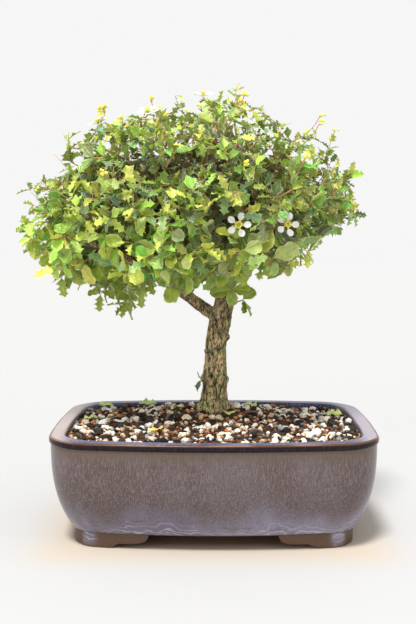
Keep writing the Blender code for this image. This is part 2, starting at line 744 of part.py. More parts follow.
def loft(rings):
    """Points and faces through rings of equal count, each turning the same way, with flat ends."""
    count = len(rings[0])
    points = [point for ring in rings for point in ring]
    faces = []
    for i in range(len(rings) - 1):
        for k in range(count):
            a, b = i * count + k, i * count + (k + 1) % count
            faces.append((a, b, b + count, a + count))
    faces.append(tuple(reversed(range(count))))
    faces.append(tuple(range(len(points) - count, len(points))))
    return points, faces


def ring_round(middle, axes, radius, sides):
    """A ring of points, with a square ring's corners between its side and up axes."""
    _, side, up = axes
    angles = [math.tau * (k + 0.5) / sides for k in range(sides)]
    return [middle + (side * math.cos(angle) + up * math.sin(angle)) * radius for angle in angles]


def tube_mesh(tube):
    stations = zip(tube.points, path_axes(tube.points), tube.radii)
    return loft([ring_round(middle, axes, radius, tube.sides) for middle, axes, radius in stations])


class Body:
    """One closed piece as it is built up, each thing growing from four corners that the last left open."""

    def __init__(self):
        self.points = []
        self.faces = []

    def add(self, points):
        """Adds points and gives their numbers."""
        first = len(self.points)
        self.points += points
        return list(range(first, len(self.points)))

    def band(self, low, high, skipped=()):
        """Joins two rings of four by faces, leaving some of them open."""
        for k in range(4):
            if k not in skipped:
                self.faces.append((low[k], low[(k + 1) % 4], high[(k + 1) % 4], high[k]))

    def grow(self, corners, item):
        """Closes four corners with whatever grows there."""
        if isinstance(item, Leaf):
            self.grow_leaf(corners, item)
        elif isinstance(item, Shoot):
            self.grow_shoot(corners, item)
        elif isinstance(item, Tube):
            self.grow_stalk(corners, item)
        else:
            self.faces.append(tuple(corners))

    def grow_shoot(self, corners, shoot):
        for joint in shoot.joints:
            step = joint.axes[0] * JOINT_LENGTH / 2
            low = self.add(ring_round(joint.middle - step, joint.axes, shoot.radius, 4))
            high = self.add(ring_round(joint.middle + step, joint.axes, shoot.radius, 4))
            self.band(corners, low)
            self.band(low, high, joint.growth)
            for face, item in joint.growth.items():
                following = (face + 1) % 4
                self.grow([low[face], low[following], high[following], high[face]], item)
            corners = high
        self.grow(corners, shoot.tip)

    def grow_stalk(self, corners, stalk):
        middle = sum((self.points[k] for k in corners), Vector()) / 4
        side = (self.points[corners[0]] + self.points[corners[3]]) / 2 - middle
        path = [middle, *stalk.points]
        for i, radius in enumerate(stalk.radii, 1):
            after = path[min(i + 1, len(path) - 1)]
            axes = axes_along((after - path[i - 1]).normalized(), side)
            ring = self.add(ring_round(path[i], axes, radius, 4))
            self.band(corners, ring)
            corners = ring
            side = axes[1]
        self.faces.append(tuple(corners))

    def grow_leaf(self, corners, leaf):
        """A blade that is thick along its middle and runs out to a point at each spine and at its tip."""

        def looks(turn):
            a, b, c, d = (self.points[corners[(turn + k) % 4]] for k in range(4))
            return leaf.normal.dot((c + d - a - b).normalized())

        turn = max(range(4), key=looks)
        low_right, low_left, top_left, top_right = (corners[(turn + k) % 4] for k in range(4))
        half = LEAF_THICKNESS / 2
        tip = self.add([leaf_point(leaf, 1, 0)])[0]
        for spine, notch in leaf.outline:
            if notch:
                u, v = notch
                low = [leaf_point(leaf, u, side * v, -half) for side in (1, -1)]
                top = [leaf_point(leaf, u, side * v, half) for side in (-1, 1)]
                next_low_right, next_low_left, next_top_left, next_top_right = self.add(low + top)
                self.faces += [(top_left, next_top_right, next_top_left)]
                self.faces += [(low_left, next_low_left, next_low_right)]
            else:
                next_low_right = next_low_left = next_top_left = next_top_right = tip
            self.faces += [(top_right, next_top_right, top_left), (low_right, low_left, next_low_right)]
            if spine:
                u, v = spine
                spine_right, spine_left = self.add([leaf_point(leaf, u, v), leaf_point(leaf, u, -v)])
                self.faces.append((top_right, spine_right, next_top_right))
                self.faces.append((top_left, next_top_left, spine_left))
                self.faces.append((low_right, next_low_right, spine_right))
                self.faces.append((low_left, spine_left, next_low_left))
                self.faces += [(top_right, low_right, spine_right), (top_left, spine_left, low_left)]
                if notch:
                    self.faces += [(next_top_right, spine_right, next_low_right)]
                    self.faces += [(next_top_left, next_low_left, spine_left)]
            else:
                self.faces += [(top_right, low_right, tip), (top_left, tip, low_left)]
            low_right, low_left = next_low_right, next_low_left
            top_left, top_right = next_top_left, next_top_right


def spray_mesh(shoot):
    """A shoot with all that grows from it, as one closed piece."""
    body = Body()
    base = body.add(ring_round(shoot.start, shoot.axes, shoot.radius, 4))
    body.faces.append(tuple(reversed(base)))
    body.grow_shoot(base, shoot)
    return body.points, body.faces


def loose_leaf_mesh(leaf):
    """A leaf on its own, closed at its root."""
    body = Body()
    half = LEAF_ROOT_HALF_WIDTH
    axes = axes_along(leaf.along, leaf.along.cross(leaf.normal))
    root = body.add(ring_round(leaf.root, axes, half * math.sqrt(2), 4))
    body.faces.append(tuple(reversed(root)))
    body.grow_leaf(root, leaf)
    return body.points, body.faces


# Blender objects


def material(name):
    colour, roughness = COLOURS[name]
    made = bpy.data.materials.get(name)
    if made is None:
        made = bpy.data.materials.new(name)
        made.use_nodes = True
        shader = made.node_tree.nodes["Principled BSDF"]
        shader.inputs["Base Color"].default_value = (*colour, 1)
        shader.inputs["Roughness"].default_value = roughness
        shader.inputs["Metallic"].default_value = 0.0
    return made


def add_object(name, points, faces, finish):
    mesh = bpy.data.meshes.new(name)
    mesh.from_pydata(points, [], faces)
    mesh.materials.append(material(finish))
    obj = bpy.data.objects.new(name, mesh)
    bpy.context.scene.collection.objects.link(obj)
    return obj


def apply_modifiers(obj):
    bpy.context.view_layer.update()
    graph = bpy.context.evaluated_depsgraph_get()
    made = bpy.data.meshes.new_from_object(obj.evaluated_get(graph))
    obj.modifiers.clear()
    old = obj.data
    made.name = old.name
    obj.data = made
    bpy.data.meshes.remove(old)


def cut(obj, cutter, operation="DIFFERENCE"):
    """Cuts one object by another, which is then removed."""
    modifier = obj.modifiers.new("cut", "BOOLEAN")
    modifier.operation = operation
    modifier.object = cutter
    apply_modifiers(obj)
    bpy.data.objects.remove(cutter)


def shade_round(obj):
    obj.data.shade_smooth()
    obj.data.set_sharp_from_angle(angle=SHARP_ANGLE)


def join(obj, others):
    """Joins other objects to one by a single Boolean union on a collection, and removes them."""
    group = bpy.data.collections.new("joining")
    bpy.context.scene.collection.children.link(group)
    for other in others:
        bpy.context.scene.collection.objects.unlink(other)
        group.objects.link(other)
    modifier = obj.modifiers.new("union", "BOOLEAN")
    modifier.operation = "UNION"
    modifier.operand_type = "COLLECTION"
    modifier.collection = group
    apply_modifiers(obj)
    for other in list(group.objects):
        bpy.data.objects.remove(other)
    bpy.data.collections.remove(group)


# Pot


def plan_quarter(inset):
    """A quarter of the pot's outline, drawn in by an inset, from the +X side's middle to the +Y side's."""
    half_x = POT_LENGTH / 2 - inset - SHORT_SIDE_BOW
    half_y = POT_WIDTH / 2 - inset - LONG_SIDE_BOW
    radius = max(CORNER_RADIUS - inset * CORNER_TIGHTENING, SMALLEST_CORNER)
    points = [(half_x, 0.0), (half_x, (half_y - radius) * 0.5)]
    for step in range(CORNER_STEPS + 1):
        angle = math.pi / 2 * step / CORNER_STEPS
        corner_x, corner_y = half_x - radius, half_y - radius
        points.append((corner_x + radius * math.cos(angle), corner_y + radius * math.sin(angle)))
    points += [((half_x - radius) * share, half_y) for share in (0.66, 0.33, 0.0)]
    bowed = []
    for x, y in points:
        bow_x = SHORT_SIDE_BOW * (1 - (y / half_y) ** 2) * x / half_x
        bow_y = LONG_SIDE_BOW * (1 - (x / half_x) ** 2) * y / half_y
        bowed.append((x + bow_x, y + bow_y))
    return bowed


def plan_ring(inset, z):
    """The pot's outline, drawn in by an inset, at a height, counter-clockwise."""
    quarter = plan_quarter(inset)
    points = quarter[:-1]
    points += [(-x, y) for x, y in reversed(quarter)][:-1]
    points += [(-x, -y) for x, y in quarter][:-1]
    points += [(x, -y) for x, y in reversed(quarter)][:-1]
    return [Vector((x, y, z)) for x, y in points]


def wall_inset(z):
    """How far the wall's outer face stands in from the rim's at a height."""
    under_rim = POT_HEIGHT - RIM_HEIGHT
    share = (z - UNDERSIDE_Z) / (under_rim - UNDERSIDE_Z)
    return RIM_OVERHANG + WALL_TUCK * max(1 - share, 0.0) ** WALL_TUCK_POWER


def inner_inset(z):
    """How far the pot's inner face stands in from the rim's outer face at a height."""
    return max(RIM_WIDTH, wall_inset(z) + WALL_THICKNESS)


def pot_rings():
    under_rim = POT_HEIGHT - RIM_HEIGHT
    heights = [UNDERSIDE_Z + (under_rim - UNDERSIDE_Z) * share for share in WALL_LEVELS]
    rings = [plan_ring(wall_inset(UNDERSIDE_Z) + UNDERSIDE_EDGE, UNDERSIDE_Z)]
    rings += [plan_ring(wall_inset(z), z) for z in heights[1:]]
    rings += [
        plan_ring(0.0, under_rim + RIM_EDGE),
        plan_ring(0.0, POT_HEIGHT - RIM_EDGE),
        plan_ring(RIM_EDGE, POT_HEIGHT),
        plan_ring(RIM_WIDTH - RIM_EDGE, POT_HEIGHT),
        plan_ring(RIM_WIDTH, POT_HEIGHT - RIM_EDGE),
    ]
    rings += [plan_ring(inner_inset(z), z) for z in INNER_LEVELS]
    return rings


def foot_stations():
    """(x, y, outward x, outward y, lower edge) at each station of the foot under the +X +Y corner."""
    dense = []
    quarter = plan_quarter(FOOT_INSET)
    for (x0, y0), (x1, y1) in zip(quarter, quarter[1:]):
        shares = [step / FOOT_PATH_STEPS for step in range(FOOT_PATH_STEPS)]
        dense += [(x0 + (x1 - x0) * share, y0 + (y1 - y0) * share) for share in shares]
    corner = max(range(len(dense)), key=lambda i: dense[i][0] / POT_LENGTH + dense[i][1] / POT_WIDTH)
    travelled = [0.0]
    for (x0, y0), (x1, y1) in zip(dense, dense[1:]):
        travelled.append(travelled[-1] + math.hypot(x1 - x0, y1 - y0))
    wanted = [(-along, z) for along, z in reversed(FOOT_ALONG_SHORT_SIDE)]
    wanted += [(along, 0.0) for along in FOOT_CORNER]
    wanted += [(along, z) for along, z in reversed(FOOT_ALONG_LONG_SIDE)]
    stations = []
    for along, z in wanted:
        i = min(range(1, len(dense) - 1), key=lambda k: abs(travelled[k] - travelled[corner] - along))
        dx, dy = dense[i + 1][0] - dense[i - 1][0], dense[i + 1][1] - dense[i - 1][1]
        scale = 1 / math.hypot(dx, dy)
        stations.append((*dense[i], dy * scale, -dx * scale, z))
    return stations


def add_foot(sign_x, sign_y):
    """One foot, following the corner, with a scrolled lower edge."""
    top = UNDERSIDE_Z + FOOT_SINK
    rings = []
    for x, y, out_x, out_y, low in foot_stations():
        low = min(low, UNDERSIDE_Z - FOOT_END_DEPTH)
        profile = [(0.0, top), (0.0, low), (-FOOT_THICKNESS, low), (-FOOT_THICKNESS, top)]
        rings.append([
            Vector((sign_x * (x + out_x * out), sign_y * (y + out_y * out), z)) for out, z in profile
        ])
    points, faces = loft(rings)
    if sign_x * sign_y < 0:
        faces = [tuple(reversed(face)) for face in faces]
    return add_object("foot", points, faces, "glaze")


def add_cylinder(x, y, radius, low, high):
    """An upright cylinder, to cut a hole with."""
    angles = [math.tau * k / HOLE_SIDES for k in range(HOLE_SIDES)]
    rings = [
        [Vector((x + radius * math.cos(angle), y + radius * math.sin(angle), z)) for angle in angles]
        for z in (low, high)
    ]
    return add_object("cylinder", *loft(rings), "glaze")


def add_pot():
    pot = add_object("pot", *loft(pot_rings()), "glaze")
    join(pot, [add_foot(sign_x, sign_y) for sign_x in (1, -1) for sign_y in (1, -1)])
    for x in (-DRAIN_X, DRAIN_X):
        low, high = UNDERSIDE_Z - CUT_MARGIN, UNDERSIDE_Z + FLOOR_THICKNESS + CUT_MARGIN
        cut(pot, add_cylinder(x, 0.0, DRAIN_RADIUS, low, high))
    shade_round(pot)
    return pot


# Soil


def soil_height(x, y):
    """The height of the soil's surface, mounded up round the trunk."""
    distance = math.hypot(x - TRUNK[0][0], y - TRUNK[0][1])
    mound = SOIL_MOUND * math.exp(-((distance / SOIL_MOUND_SPREAD) ** 2))
    ripple = SOIL_RIPPLE * math.sin(x * SOIL_RIPPLES[0]) * math.cos(y * SOIL_RIPPLES[1])
    return SOIL_EDGE_Z + mound + ripple


def soil_sheet(rng):
    """The soil's surface in uneven cells, with its edges drawn down below the pot's floor and closed."""
    cell_x, cell_y = POT_LENGTH / SOIL_CELLS_X, POT_WIDTH / SOIL_CELLS_Y
    surface = bmesh.new()
    rows = []
    for j in range(SOIL_CELLS_Y + 1):
        row = []
        for i in range(SOIL_CELLS_X + 1):
            x = (i - SOIL_CELLS_X / 2 + rng.uniform(-SOIL_CELL_JITTER, SOIL_CELL_JITTER)) * cell_x
            y = (j - SOIL_CELLS_Y / 2 + rng.uniform(-SOIL_CELL_JITTER, SOIL_CELL_JITTER)) * cell_y
            z = soil_height(x, y) + rng.uniform(-SOIL_ROUGHNESS, SOIL_ROUGHNESS)
            row.append(surface.verts.new((x, y, z)))
        rows.append(row)
    cells = []
    for low, high in zip(rows, rows[1:]):
        for i in range(SOIL_CELLS_X):
            cells.append(surface.faces.new((low[i], low[i + 1], high[i + 1], high[i])))
    rim = [edge for edge in surface.edges if edge.is_boundary]
    skirt = bmesh.ops.extrude_edge_only(surface, edges=rim)["geom"]
    for item in skirt:
        if isinstance(item, bmesh.types.BMVert):
            item.co.z = INNER_LEVELS[-1] - CUT_MARGIN
    bmesh.ops.contextual_create(surface, geom=[edge for edge in surface.edges if edge.is_boundary])
    return surface, cells


def takes_grit(place):
    """True on the open soil, away from the trunk and the rim."""
    from_trunk = math.hypot(place.x - TRUNK[0][0], place.y - TRUNK[0][1])
    clear_x = POT_LENGTH / 2 - RIM_WIDTH - GRIT_CLEAR_OF_RIM
    clear_y = POT_WIDTH / 2 - RIM_WIDTH - GRIT_CLEAR_OF_RIM
    return from_trunk > HOLE_RADIUS + GRIT_CLEAR_OF_HOLE and abs(place.x) < clear_x and abs(place.y) < clear_y


def raise_grit(surface, cells, rng):
    """Lifts some of the cells as coarse lumps, each tilted its own way."""
    for cell in cells:
        middle = cell.calc_center_median()
        if not takes_grit(middle) or rng.random() > GRIT_SHARE:
            continue
        bmesh.ops.inset_region(surface, faces=[cell], thickness=rng.uniform(*GRIT_INSET), depth=0)
        lift = rng.uniform(*GRIT_HEIGHT)
        tilt = Vector((rng.uniform(-GRIT_TILT, GRIT_TILT), rng.uniform(-GRIT_TILT, GRIT_TILT), 0))
        for vertex in cell.verts:
            vertex.co.z += lift + tilt.dot(vertex.co - middle)


def add_soil(rng):
    """Soil that fills the pot, with coarse grit standing out of it, and a plain hole for the trunk."""
    surface, cells = soil_sheet(rng)
    raise_grit(surface, cells, rng)
    bmesh.ops.recalc_face_normals(surface, faces=surface.faces)
    soil = add_object("soil", [], [], "soil")
    surface.to_mesh(soil.data)
    surface.free()
    levels = (INNER_LEVELS[-1] + GAP, *reversed(INNER_LEVELS[:-1]), POT_HEIGHT + SOIL_MOUND)
    inside = [plan_ring(inner_inset(z) + GAP, z) for z in levels]
    cut(soil, add_object("inside", *loft(inside), "soil"), "INTERSECT")
    top = POT_HEIGHT + SOIL_MOUND + CUT_MARGIN
    cut(soil, add_cylinder(TRUNK[0][0], TRUNK[0][1], HOLE_RADIUS, HOLE_FLOOR_Z, top))
    return soil


# Tree


def trunk_rings():
    """Rings up the trunk: round in the hole, ridged by the roots above it, and rough with bark further up."""
    rng = random.Random(SEED)
    rings = []
    for level, (x, y, z, radius) in enumerate(TRUNK):
        ring = []
        height = max(z - TRUNK[TRUNK_BASE_RINGS - 1][2], 0) / ROOT_RIDGE_HEIGHT
        ridge = ROOT_RIDGE * math.exp(-height) if level >= TRUNK_BASE_RINGS else 0.0
        for k in range(TRUNK_SIDES):
            angle = math.tau * k / TRUNK_SIDES
            reach = 1.0
            if level >= TRUNK_BASE_RINGS:
                reach += ridge * (math.cos(ROOT_COUNT * angle) - 1) + rng.uniform(-1, 1) * BARK_ROUGHNESS
            out = radius * reach
            ring.append(Vector((x + out * math.cos(angle), y + out * math.sin(angle), z)))
        rings.append(ring)
    return rings


def add_wood(wood):
    trunk = add_object("trunk_and_branches", *loft(trunk_rings()), "bark")
    join(trunk, [add_object("limb", *tube_mesh(tube), "bark") for tube in wood])
    shade_round(trunk)


def add_spray(name, shoot):
    return add_object(name, *spray_mesh(shoot), "leaf")


def flower_point(place, axes, angle, reach, height):
    """A point of a flower from its angle round the middle, its distance from it and its height."""
    facing, side, up = axes
    return place + side * reach * math.cos(angle) + up * reach * math.sin(angle) + facing * height


def add_petals(name, place, axes):
    """The petals in one cupped star, which sits on the stalk."""
    outline = [
        (math.tau * (petal + turn) / PETAL_COUNT, reach * FLOWER_RADIUS)
        for petal in range(PETAL_COUNT)
        for turn, reach in PETAL_OUTLINE
    ]
    count = len(outline)
    points = []
    for low in (0.0, PETAL_THICKNESS):
        for angle, reach in outline:
            cup = PETAL_CUP * (reach - FLOWER_RADIUS * FLOWER_HEART)
            points.append(flower_point(place, axes, angle, reach, low + cup))
    faces = [(k, (k + 1) % count, (k + 1) % count + count, k + count) for k in range(count)]
    notches = range(0, count, len(PETAL_OUTLINE))
    star = [tuple(notches)]
    for notch in notches:
        a, b, c, d, e = ((notch + step) % count for step in range(5))
        star += [(a, b, c), (a, c, e), (c, d, e)]
    faces += [tuple(reversed(face)) for face in star]
    faces += [tuple(k + count for k in face) for face in star]
    add_object(name, points, faces, "petal")


def add_flower_eye(name, place, axes):
    """The flower's yellow middle, which sits on the petals."""
    angles = [math.tau * k / FLOWER_EYE_SIDES for k in range(FLOWER_EYE_SIDES)]
    base = PETAL_THICKNESS + GAP
    dome = [
        [flower_point(place, axes, angle, FLOWER_EYE_RADIUS * share, base + FLOWER_EYE_HEIGHT * rise)
         for angle in angles]
        for share, rise in FLOWER_EYE_PROFILE
    ]
    add_object(name, *loft(dome), "flower_eye")


def add_flower(name, place, facing):
    axes = axes_along(facing, Vector((0.3, 0.2, 1.0)))
    add_petals(f"{name}_petals", place, axes)
    add_flower_eye(f"{name}_eye", place, axes)


def add_fallen_leaf(number, place, heading, length, soil_tree, rng):
    """A leaf lying on the soil: it is let down until its lowest point is just clear of the surface."""
    angle = math.radians(heading)
    along = Vector((math.cos(angle), math.sin(angle), rng.uniform(*FALLEN_LEAF_RISE))).normalized()
    tilt = [rng.uniform(-FALLEN_LEAF_TILT, FALLEN_LEAF_TILT) for _ in range(2)]
    face = perpendicular(Vector((*tilt, 1)), along)
    start = Vector((*place, POT_HEIGHT + SOIL_MOUND * 2)) - along * length / 2
    leaf = Leaf(start, along, face, length, SPINY)
    points, faces = loose_leaf_mesh(leaf)
    lower = Vector((0, 0, -GAP / 2))
    while not BVHTree.FromPolygons([point + lower for point in points], faces).overlap(soil_tree):
        points = [point + lower for point in points]
    add_object(f"fallen_leaf_{number:02d}", [point - lower for point in points], faces, "fallen_leaf")


def centre_on_footprint():
    """Moves everything sideways together, so that the origin is under the middle of the object's box."""
    corners = [v.co for obj in bpy.data.objects for v in obj.data.vertices]
    shift = Vector((
        -(min(c.x for c in corners) + max(c.x for c in corners)) / 2,
        -(min(c.y for c in corners) + max(c.y for c in corners)) / 2,
        0.0,
    ))
    for obj in bpy.data.objects:
        obj.data.transform(Matrix.Translation(shift))


def main():
    for obj in list(bpy.data.objects):
        bpy.data.objects.remove(obj)
    rng = random.Random(SEED)
    wood, sprays, sprouts, flowers = grow_tree()
    add_pot()
    soil = add_soil(rng)
    add_wood(wood)
    for name, shoot in [*sprays, *sprouts]:
        add_spray(name, shoot)
    for flower in flowers:
        add_flower(*flower)
    soil_tree = BVHTree.FromObject(soil, bpy.context.evaluated_depsgraph_get())
    for number, (place, heading, length) in enumerate(FALLEN_LEAVES, 1):
        add_fallen_leaf(number, place, heading, length, soil_tree, rng)
    centre_on_footprint()


main()
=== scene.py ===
"""The looks of a dwarf holly bonsai in a glazed pot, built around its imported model.

The tree is grown here by the same seeded rule as the solids, with finer leaves on the same shoots. The
shoots and leaves that the solids leave out are then grown into the room between them. All sizes are in
metres. The tree and the pot are laid out from the middle of the pot and then moved to where the model has
it.
"""

import math
import random
from dataclasses import dataclass, field

import bmesh
import bpy
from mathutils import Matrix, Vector, kdtree, noise
from mathutils.bvhtree import BVHTree


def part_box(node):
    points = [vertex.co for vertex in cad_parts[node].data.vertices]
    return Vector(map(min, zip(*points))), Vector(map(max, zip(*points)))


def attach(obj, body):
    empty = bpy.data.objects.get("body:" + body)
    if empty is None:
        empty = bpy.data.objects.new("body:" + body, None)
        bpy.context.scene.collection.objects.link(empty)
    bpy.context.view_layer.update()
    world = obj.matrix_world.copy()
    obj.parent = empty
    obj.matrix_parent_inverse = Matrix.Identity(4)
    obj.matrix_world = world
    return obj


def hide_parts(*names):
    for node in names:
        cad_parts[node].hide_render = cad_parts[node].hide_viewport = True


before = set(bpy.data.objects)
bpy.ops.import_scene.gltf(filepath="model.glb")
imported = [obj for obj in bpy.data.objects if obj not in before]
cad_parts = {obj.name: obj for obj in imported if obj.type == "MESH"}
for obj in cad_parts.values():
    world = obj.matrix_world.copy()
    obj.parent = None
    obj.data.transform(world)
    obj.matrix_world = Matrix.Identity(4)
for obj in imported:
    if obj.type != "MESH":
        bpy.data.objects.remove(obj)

SEED = 5756
GAP = 0.0003
FIRST_SIDE = Vector((0.3, 0.2, 1.0))  # near which the side of a path or a flower looks

# Camera, from the pot's middle on the ground
CAMERA_PLACE = (0.0017, -0.6352, 0.1992)
CAMERA_PITCH = 0.0828  # down
CAMERA_TURN = 0.0092
CAMERA_LENS = 53.3
CAMERA_SENSOR = 36.0
CAMERA_NEAR = 0.01

# Pot, as a bowed rectangle with round corners
POT_LENGTH = 0.216
POT_WIDTH = 0.160
POT_HEIGHT = 0.071
POT_SHARP_ANGLE = math.radians(50)
LONG_SIDE_BOW = 0.0095
SHORT_SIDE_BOW = 0.0034
CORNER_RADIUS = 0.023
CORNER_TIGHTENING = 0.6
SMALLEST_CORNER = 0.008
CORNER_STEPS = 14
SIDE_STEPS = 16
RIM_WIDTH = 0.0095
RIM_HEIGHT = 0.0045
RIM_ROUND = 0.0013
RIM_ROUND_STEPS = 4
RIM_OVERHANG = 0.001
WALL_THICKNESS = 0.006
WALL_TUCK = 0.0129
WALL_TUCK_POWER = 2.7
WALL_STEPS = 26
WALL_STEP_POWER = 1.35  # the steps are closer together low down, where the wall bends
INSIDE_HEIGHTS = (0.060, 0.052, 0.040, 0.028)
RIM_STEPPED = 0.0002  # the height of the step under the rim
RIM_FLAT_FROM = 0.0004  # how far the flat of the rim begins from its round edges
UNDERSIDE_Z = 0.0094
UNDERSIDE_EDGE = 0.002
FLOOR_THICKNESS = 0.006
DRAIN_RADIUS = 0.006
DRAIN_X = 0.045
HOLE_SIDES = 32
FOOT_ALONG_LONG_SIDE = ((0.0435, 0.0090), (0.0415, 0.0047), (0.0345, 0.0031), (0.0250, 0.0028), (0.0165, 0.0))
FOOT_ALONG_SHORT_SIDE = ((0.0165, 0.0), (0.0235, 0.0028), (0.031, 0.0031), (0.0365, 0.0047), (0.0385, 0.009))
FOOT_CORNER = (-0.010, -0.0035, 0.0035, 0.010)
FOOT_INSET = 0.0148
FOOT_THICKNESS = 0.009
FOOT_SINK = 0.003
FOOT_EDGE_ROUND = 0.0009
FOOT_STEPS = 64
FOOT_FINE_STEPS = 8  # between two points of the pot's outline
FOOT_DRIP_PLACE = 0.004  # of the drip of glaze, from the corner
FOOT_DRIP_WIDTH = 0.005
FOOT_DRIP_END = 0.003

# Soil
SOIL_EDGE_Z = 0.0675
SOIL_MOUND = 0.0105
SOIL_MOUND_SPREAD = 0.046
SOIL_RIPPLE = 0.0007
SOIL_RIPPLES = (170, 210)
SOIL_RINGS = 60
SOIL_DEPTH = 0.004  # of the drawn layer at the pot's wall
TRUNK_FOOT = (-0.0005, 0.008)
# Colours of each kind of bit
CRUMB_COLOURS = ((0.090, 0.050, 0.032), (0.135, 0.075, 0.045), (0.040, 0.024, 0.018))
CHIP_COLOURS = ((0.17, 0.070, 0.036), (0.30, 0.130, 0.065), (0.09, 0.045, 0.028))
PUMICE_COLOURS = ((0.92, 0.87, 0.76), (0.95, 0.93, 0.88), (0.80, 0.68, 0.50))
TAN_COLOURS = ((0.58, 0.39, 0.23), (0.76, 0.56, 0.35), (0.38, 0.23, 0.12))
CLAY_COLOURS = ((0.56, 0.17, 0.045), (0.66, 0.30, 0.12))
STONE_COLOURS = ((0.20, 0.24, 0.26), (0.36, 0.39, 0.41), (0.12, 0.14, 0.15))
LAVA_COLOURS = ((0.018, 0.016, 0.016), (0.045, 0.036, 0.030))
BITS = (  # the kinds: name, share, smallest and largest radius, how flat, how long, and colours
    ("crumb", 0.30, 0.0008, 0.0021, 0.75, 1.6, CRUMB_COLOURS),
    ("chip", 0.20, 0.0010, 0.0022, 0.35, 3.6, CHIP_COLOURS),
    ("pumice", 0.165, 0.0012, 0.0031, 0.80, 1.4, PUMICE_COLOURS),
    ("tan", 0.125, 0.0010, 0.0022, 0.80, 1.5, TAN_COLOURS),
    ("clay", 0.09, 0.0010, 0.0021, 0.80, 1.6, CLAY_COLOURS),
    ("stone", 0.03, 0.0013, 0.0026, 0.80, 1.3, STONE_COLOURS),
    ("lava", 0.09, 0.0014, 0.0030, 0.85, 1.4, LAVA_COLOURS),
)
BIT_COUNT = 3900
BIT_SIZE_POWER = 1.5  # more of them are small
BIT_MARGIN = 1.2  # kept to the rim, as a share of a bit's radius
BIT_LIFT = (-0.1, 0.55)  # how high a bit's middle is, as a share of its radius
BIT_BRIGHTNESS = (0.85, 1.12)
BIT_TILT = 0.35
BIT_ROUGHNESS = (0.70, 1.15)
BARE_ROUND_TRUNK = 0.0135
DARK_ROUND_TRUNK = 0.035  # within which half of the light bits are left out
GROUND_COLOURS = ((0.028, 0.017, 0.012), (0.11, 0.060, 0.036))
GROUND_PATCHES = 260
GROUND_DROP = 0.0006
GROUND_RELIEF = 0.0011
GROUND_LUMPS = 420
GROUND_START = 0.06  # the share of the way to the wall at which its first ring lies
GROUND_TUCK = (0.9, 0.88)  # how far the bottom ring is drawn in
SOIL_SHARP_ANGLE = math.radians(28)
FINE_BIT_RADIUS = 0.0021  # above which a bit has more corners
LIGHT_BITS = ("pumice", "tan", "clay")

# Trunk: (x, y, z, radius) up its middle
TRUNK = (
    (-0.0005, 0.008, 0.0445, 0.0125),
    (-0.0005, 0.008, 0.074, 0.0128),
    (-0.0005, 0.008, 0.0825, 0.0114),
    (0.000, 0.008, 0.089, 0.0092),
    (0.0005, 0.008, 0.096, 0.0089),
    (0.0005, 0.009, 0.1045, 0.0083),
    (0.001, 0.009, 0.112, 0.0079),
    (0.0015, 0.009, 0.125, 0.0075),
    (0.0035, 0.009, 0.1365, 0.0077),
    (0.0063, 0.009, 0.147, 0.0071),
    (0.0085, 0.010, 0.1605, 0.0062),
    (0.0115, 0.011, 0.1735, 0.0054),
    (0.018, 0.012, 0.188, 0.0044),
    (0.0245, 0.011, 0.198, 0.0035),
    (0.033, 0.010, 0.213, 0.0026),
)
TRUNK_SIDES = 12
TRUNK_BASE_RINGS = 2
ROOT_COUNT = 5
ROOT_RIDGE = 0.10
ROOT_RIDGE_HEIGHT = 0.02
BARK_ROUGHNESS = 0.05
LIMBS = (
    # the low limb to the left
    (((0.0045, 0.009, 0.142), (-0.0055, 0.008, 0.1475), (-0.0195, 0.005, 0.158), (-0.0375, 0.002, 0.1705),
      (-0.053, -0.0035, 0.180), (-0.073, -0.0095, 0.190), (-0.089, -0.0135, 0.198)), 0.0048, 0.0020),
    # up from the low limb to the top left
    (((-0.035, 0.003, 0.1685), (-0.033, 0.008, 0.190), (-0.0215, 0.013, 0.2235), (-0.005, 0.016, 0.249)),
     0.0033, 0.0017),
    # from the low limb to the back left
    (((-0.048, -0.0005, 0.1765), (-0.063, 0.0175, 0.188), (-0.075, 0.039, 0.2005)), 0.0026, 0.0016),
    # from the low limb to the front left
    (((-0.0285, 0.004, 0.1635), (-0.0415, -0.0155, 0.1775), (-0.0535, -0.0325, 0.194)), 0.0028, 0.0016),
    # from the trunk to the upper left
    (((0.011, 0.011, 0.1705), (-0.0075, 0.0175, 0.192), (-0.031, 0.0275, 0.216), (-0.0545, 0.0295, 0.2355)),
     0.0034, 0.0016),
    # from the trunk to the back
    (((0.0085, 0.010, 0.1615), (0.0025, 0.0275, 0.1815), (-0.0075, 0.0485, 0.204), (-0.015, 0.0625, 0.2235)),
     0.0032, 0.0016),
    # from the trunk to the front
    (((0.0105, 0.010, 0.1665), (0.009, -0.0095, 0.1835), (0.0005, -0.031, 0.204), (-0.0095, -0.0445, 0.222)),
     0.0032, 0.0016),
    # from the trunk to the front right
    (((0.0125, 0.011, 0.1755), (0.0285, -0.0075, 0.190), (0.0445, -0.025, 0.204)), 0.0030, 0.0016),
    # from the trunk to the back right
    (((0.015, 0.0115, 0.181), (0.0325, 0.0275, 0.194), (0.046, 0.045, 0.210)), 0.0030, 0.0016),
    # from the leader to the right
    (((0.024, 0.011, 0.197), (0.0425, 0.008, 0.208), (0.060, 0.004, 0.216)), 0.0028, 0.0016),
    # from the leader to the top
    (((0.0175, 0.012, 0.187), (0.0165, 0.012, 0.208), (0.0125, 0.010, 0.230), (0.018, 0.008, 0.2535)),
     0.0030, 0.0016),
    # from the leader to the top right
    (((0.031, 0.010, 0.209), (0.0405, 0.014, 0.228), (0.0465, 0.016, 0.2435)), 0.0024, 0.0015),
)
LIMB_SIDES = 5
LIMB_STEPS = 2
TWIG_SIDES = 4
TWIG_RADIUS = (0.0014, 0.0011)
SHORTEST_TWIG = 0.008
TWIG_LIMB_SHARE = 0.85
TWIG_EASE = 0.4
TURN_COST = 0.35
BACK_COST = 0.5
BARE_TWIG_RADIUS = (0.0009, 0.0006)
